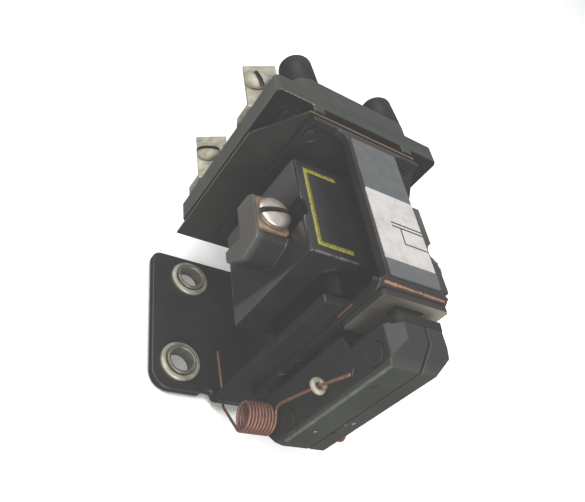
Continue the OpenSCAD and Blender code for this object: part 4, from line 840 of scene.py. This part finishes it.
def screws(name, places, head, finish, *stoodFor):
    # places: matrices whose Z points out of the seat
    radius, height, shank, length = head["radius"], head["height"], head["shank"], head["length"]
    rim = height * head["rim"]
    slotFloor = height - head["deep"]
    dome = [(radius * math.cos(a), rim + (height - rim) * math.sin(a))
            for a in (math.radians(d) for d in range(slotted["domeStep"], 90, slotted["domeStep"]))]
    profile = [(0, -length), (shank, -length), (shank, 0.0), (radius - slotted["under"][0], 0.0),
               (radius, slotted["under"][1]), (radius, rim)] + dome + [(0, height)]
    bm = bmesh.new()
    for place in places:
        turn(bm, profile, place)
    piece = makePiece(name, bm)
    bm = bmesh.new()
    for place in places:
        addBox(bm, (-radius * slotted["over"], -head["slot"] / 2, slotFloor),
               (radius * slotted["over"], head["slot"] / 2, height + slotted["clear"]), place)
    cut(piece, makePiece(name + "_slots", bm))
    softenEdges(piece, slotted["edge"], angle=slotted["sharp"])
    settle(piece, finish, *stoodFor)

    def screwFinish(face):
        for place in places:
            spot = place.inverted() @ face.center / mm
            inSlot = abs(spot.y) < head["slot"] * slotted["atSlot"] and spot.length < radius * slotted["over"]
            atTip = math.hypot(spot.x, spot.y) < shank * slotted["atShank"]
            if atTip and -length - slotted["atTop"] < spot.z < -length + slotted["painted"]:
                return 2
            if inSlot and slotFloor - slotted["atFloor"] < spot.z < height + slotted["atTop"]:
                return 1
        return 0

    paintFaces(piece, [grease, enamel], screwFinish)  # slots full of grease, tips painted over


def mirrored(head, normal):
    # a screw's place and its mirror image
    x, y, z = head["place"]
    return [facing((side * x, y, z), normal, spin) for side, spin in zip((-1, 1), head["spins"])]


coilScrew = {"place": (*cheek["hollow"], 44.0), "spins": (15, 15), "radius": 3.6, "height": 1.9, "rim": 0.48,
             "shank": 1.8, "length": 4.7, "slot": 1.2, "deep": 1.2}
screws("coil_screws_binding", mirrored(coilScrew, (0, 0, 1)), coilScrew, nickel, "coil_terminal_screws")
terminalScrew = {"x": 24.0, "along": 2.9, "y": 37.1, "lean": 28.7,  # a seat that leans outwards
                 "fronts": ((45.3, 107), (21.2, -3)),  # height of the seat's outer edge, turn of the slot
                 "radius": 3.0, "height": 2.0, "rim": 0.32, "shank": 1.45, "length": 3.4, "slot": 1.1,
                 "deep": 1.2}
lean = math.radians(terminalScrew["lean"])
terminalPlaces = []
for side in (-1, 1):
    for front, spin in terminalScrew["fronts"]:
        centre = Vector((side * (terminalScrew["x"] - terminalScrew["along"] * math.cos(lean)),
                         terminalScrew["y"], front + terminalScrew["along"] * math.sin(lean)))
        out = Vector((side * math.sin(lean), 0, math.cos(lean)))
        across = Vector((-side * math.cos(lean), 0, math.sin(lean)))
        basis = Matrix((across, out.cross(across), out)).transposed().to_4x4()
        turned = Matrix.Rotation(math.radians(-side * spin), 4, "Z")
        terminalPlaces.append(Matrix.Translation(centre * mm) @ basis @ turned)
screws("terminal_screws_binding", terminalPlaces, terminalScrew, dullNickel, "terminal_screws")
clampScrew = {"place": (block["post"][0], 39.7, block["post"][1]), "spins": (-25, 25), "radius": 2.6,
              "height": 1.6, "rim": 0.32, "shank": 1.5, "length": 21.2, "slot": 0.8, "deep": 0.8}
screws("post_screws_slotted", mirrored(clampScrew, (0, 1, 0)), clampScrew, steel, "post_screws")
coverScrew = {**clampScrew, "place": (7.2, block["top"], 29.85), "spins": (25, 55), "length": 14.2}
screws("cover_screws_slotted", mirrored(coverScrew, (0, 1, 0)), coverScrew, steel, "cover_screws")
print("stage: screws")

# posts, drafted, with a sunk seat for the clamp screw
post = {"foot": 4.6, "top": 4.0, "high": 10.4, "sink": 3.4, "seat": 2.75, "bore": 1.6, "round": 0.5,
        "sides": 64}
seatHeight = post["high"] - post["sink"]
profile = roundOff([(post["foot"], 0.0), (post["top"], post["high"]), (post["seat"], post["high"]),
                    (post["seat"], seatHeight), (post["bore"], seatHeight), (post["bore"], 0.0),
                    (post["foot"], 0.0)], post["round"], steps=4)
for node, side in (("post_left", -1), ("post_right", 1)):
    place = facing((side * block["post"][0], block["top"], block["post"][1]), (0, 1, 0))
    settle(turnedPiece(node + "_drafted", profile, [place], post["sides"]), postPhenolic, node)
print("stage: posts")

# rivets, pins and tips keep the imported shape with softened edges: radius, segments, finish
riveted = {"yoke_rivets": (0.25, 3, enamel), "bracket_rivets": (0.25, 3, enamel),
           "hinge_pin": (0.2, 2, steel), "carrier_rivets": (0.08, 2, carrierPhenolic),
           "fixed_contact_tips": (0.2, 2, silver), "moving_contact_tips": (0.2, 2, silver)}
for node, (width, segments, finish) in riveted.items():
    piece = cadShape(node + "_headed", node)
    softenEdges(piece, width, segments, angle=40)
    settle(piece, finish, node)
for node in ("coil_winding", "shading_ring"):
    dress(nodes[node], copper)
print("stage: rivets and inner pieces")

# return spring: close wound, one leg on the plate, one through the carrier's eye
spring = {"wire": 0.31, "mean": 2.85, "turns": 8, "left": -14.45, "right": -8.3, "pivot": (-30.3, 16.5),
          "start": 224, "end": 90, "step": 10, "plateBend": 1.2, "carrierBend": 1.6,
          "plateLeg": [(-11.0, -7.7, 2.675), (-10.5, -16.7, 2.675), (-10.5, -21.3, 2.675),
                       (-10.75, -22.2, 3.4)],
          "carrierLeg": [(-8.6, -29.5, 20.1), (-9.2, -29.5, 22.3), (-9.2, -31.8, 34.7), (-8.95, -33.8, 43.2)]}
sweep = spring["start"] - spring["end"] + 360 * spring["turns"]
steps = int(sweep / spring["step"])
coilPath = []
for i in range(steps + 1):
    a = math.radians(spring["start"] - sweep * i / steps)
    coilPath.append((spring["left"] + (spring["right"] - spring["left"]) * i / steps,
                     spring["pivot"][0] + spring["mean"] * math.cos(a),
                     spring["pivot"][1] + spring["mean"] * math.sin(a)))
legIn = roundOff(spring["plateLeg"] + [coilPath[0]], spring["plateBend"], steps=8)[:-1]
legOut = roundOff([coilPath[-1]] + spring["carrierLeg"], spring["carrierBend"], steps=8)[1:]
bm = bmesh.new()
wire(bm, legIn + coilPath + legOut, spring["wire"])
piece = makePiece("spring_wound", bm)
dress(piece, copper)
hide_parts("return_spring")
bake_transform(piece)
eye = {"centre": spring["carrierLeg"][2], "radius": 1.2, "wire": 0.55, "arc": (20, 350), "lead": 0.25,
       "stem": -5.6}  # the leg passes through its middle
x, y, z = eye["centre"]
ringPath = []
for degrees in range(eye["arc"][0], eye["arc"][1] + 1, 10):
    a = math.radians(degrees)
    ringPath.append((x + eye["radius"] * math.cos(a), y + eye["radius"] * math.sin(a), z))
bm = bmesh.new()
wire(bm, ringPath + [(x + eye["radius"] + eye["lead"], y, z), (eye["stem"], y, z)], eye["wire"], sides=14)
settle(makePiece("spring_eye_bent", bm), dullNickel, "spring_eye")
print("stage: spring")

# printed brackets on the coil, laid a little proud of its face
inkFrame = {"left": -15.1, "right": 16.65, "inner": 6.5, "low": -11.1, "high": 9.6, "line": 1.1, "face": 48.8,
            "proud": 0.03, "skirt": 1.5, "steps": 40, "ragged": 0.05, "pitch": 1.7, "seed": 3.0}
low, high, steps = inkFrame["low"], inkFrame["high"], inkFrame["steps"]
inkTop = inkFrame["face"] + inkFrame["proud"]
bm = bmesh.new()
for edge, end in ((inkFrame["left"], -inkFrame["inner"]), (inkFrame["right"], inkFrame["inner"])):
    step = math.copysign(inkFrame["line"], end - edge)
    outer = [(end, low), (edge, low), (edge, high), (end, high)]
    inner = [(end, low + inkFrame["line"]), (edge + step, low + inkFrame["line"]),
             (edge + step, high - inkFrame["line"]), (end, high - inkFrame["line"])]
    rows = []
    for line in (outer, inner):
        row = []
        for (x0, y0), (x1, y1) in zip(line, line[1:]):
            for k in range(steps):
                x = x0 + (x1 - x0) * k / steps
                y = y0 + (y1 - y0) * k / steps
                grain = Vector((x, y, inkFrame["seed"])) * inkFrame["pitch"]
                ragged = inkFrame["ragged"] * noise.noise(grain) if k else 0.0  # the screen's soft edge
                row.append(bm.verts.new(Vector((x + ragged, y + ragged, inkTop)) * mm))
        rows.append(row)
    for a, b, c, d in zip(rows[0], rows[0][1:], rows[1][1:], rows[1]):
        bm.faces.new([a, b, c, d])
skirt = bmesh.ops.extrude_face_region(bm, geom=bm.faces[:])["geom"]
for v in (g for g in skirt if isinstance(g, bmesh.types.BMVert)):
    v.co.z -= inkFrame["proud"] * inkFrame["skirt"] * mm
piece = makePiece("ink_frame", bm)
dress(piece, ink)
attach(piece, "relay_base")
print("stage: printing")

# a drop of sealing paint on the slope of the carrier's right half
drop = {"centre": (5.0, -34.6, 21.9), "radii": (1.1, 0.9, 1.3), "lumps": 0.12, "pitch": 1.6}
bm = bmesh.new()
bmesh.ops.create_icosphere(bm, subdivisions=4, radius=1.0)
for v in bm.verts:
    lump = 1.0 + drop["lumps"] * noise.noise(v.co * drop["pitch"])
    v.co = (Vector(drop["centre"]) + Vector(drop["radii"]) * v.co * lump) * mm
piece = makePiece("sealing_drop", bm)
dress(piece, seal)
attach(piece, "armature")
print("stage: sealing paint")

# floor
bm = bmesh.new()
bmesh.ops.create_grid(bm, x_segments=4, y_segments=4, size=studio["floorHalf"] * mm)
floor = makePiece("floor", bm)
dress(floor, paper)
floor.visible_glossy = False  # the black pieces mirror a dark room, not the paper
floor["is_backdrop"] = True

size = {"cad": cadBox, "visual": [list(corner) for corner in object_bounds()]}
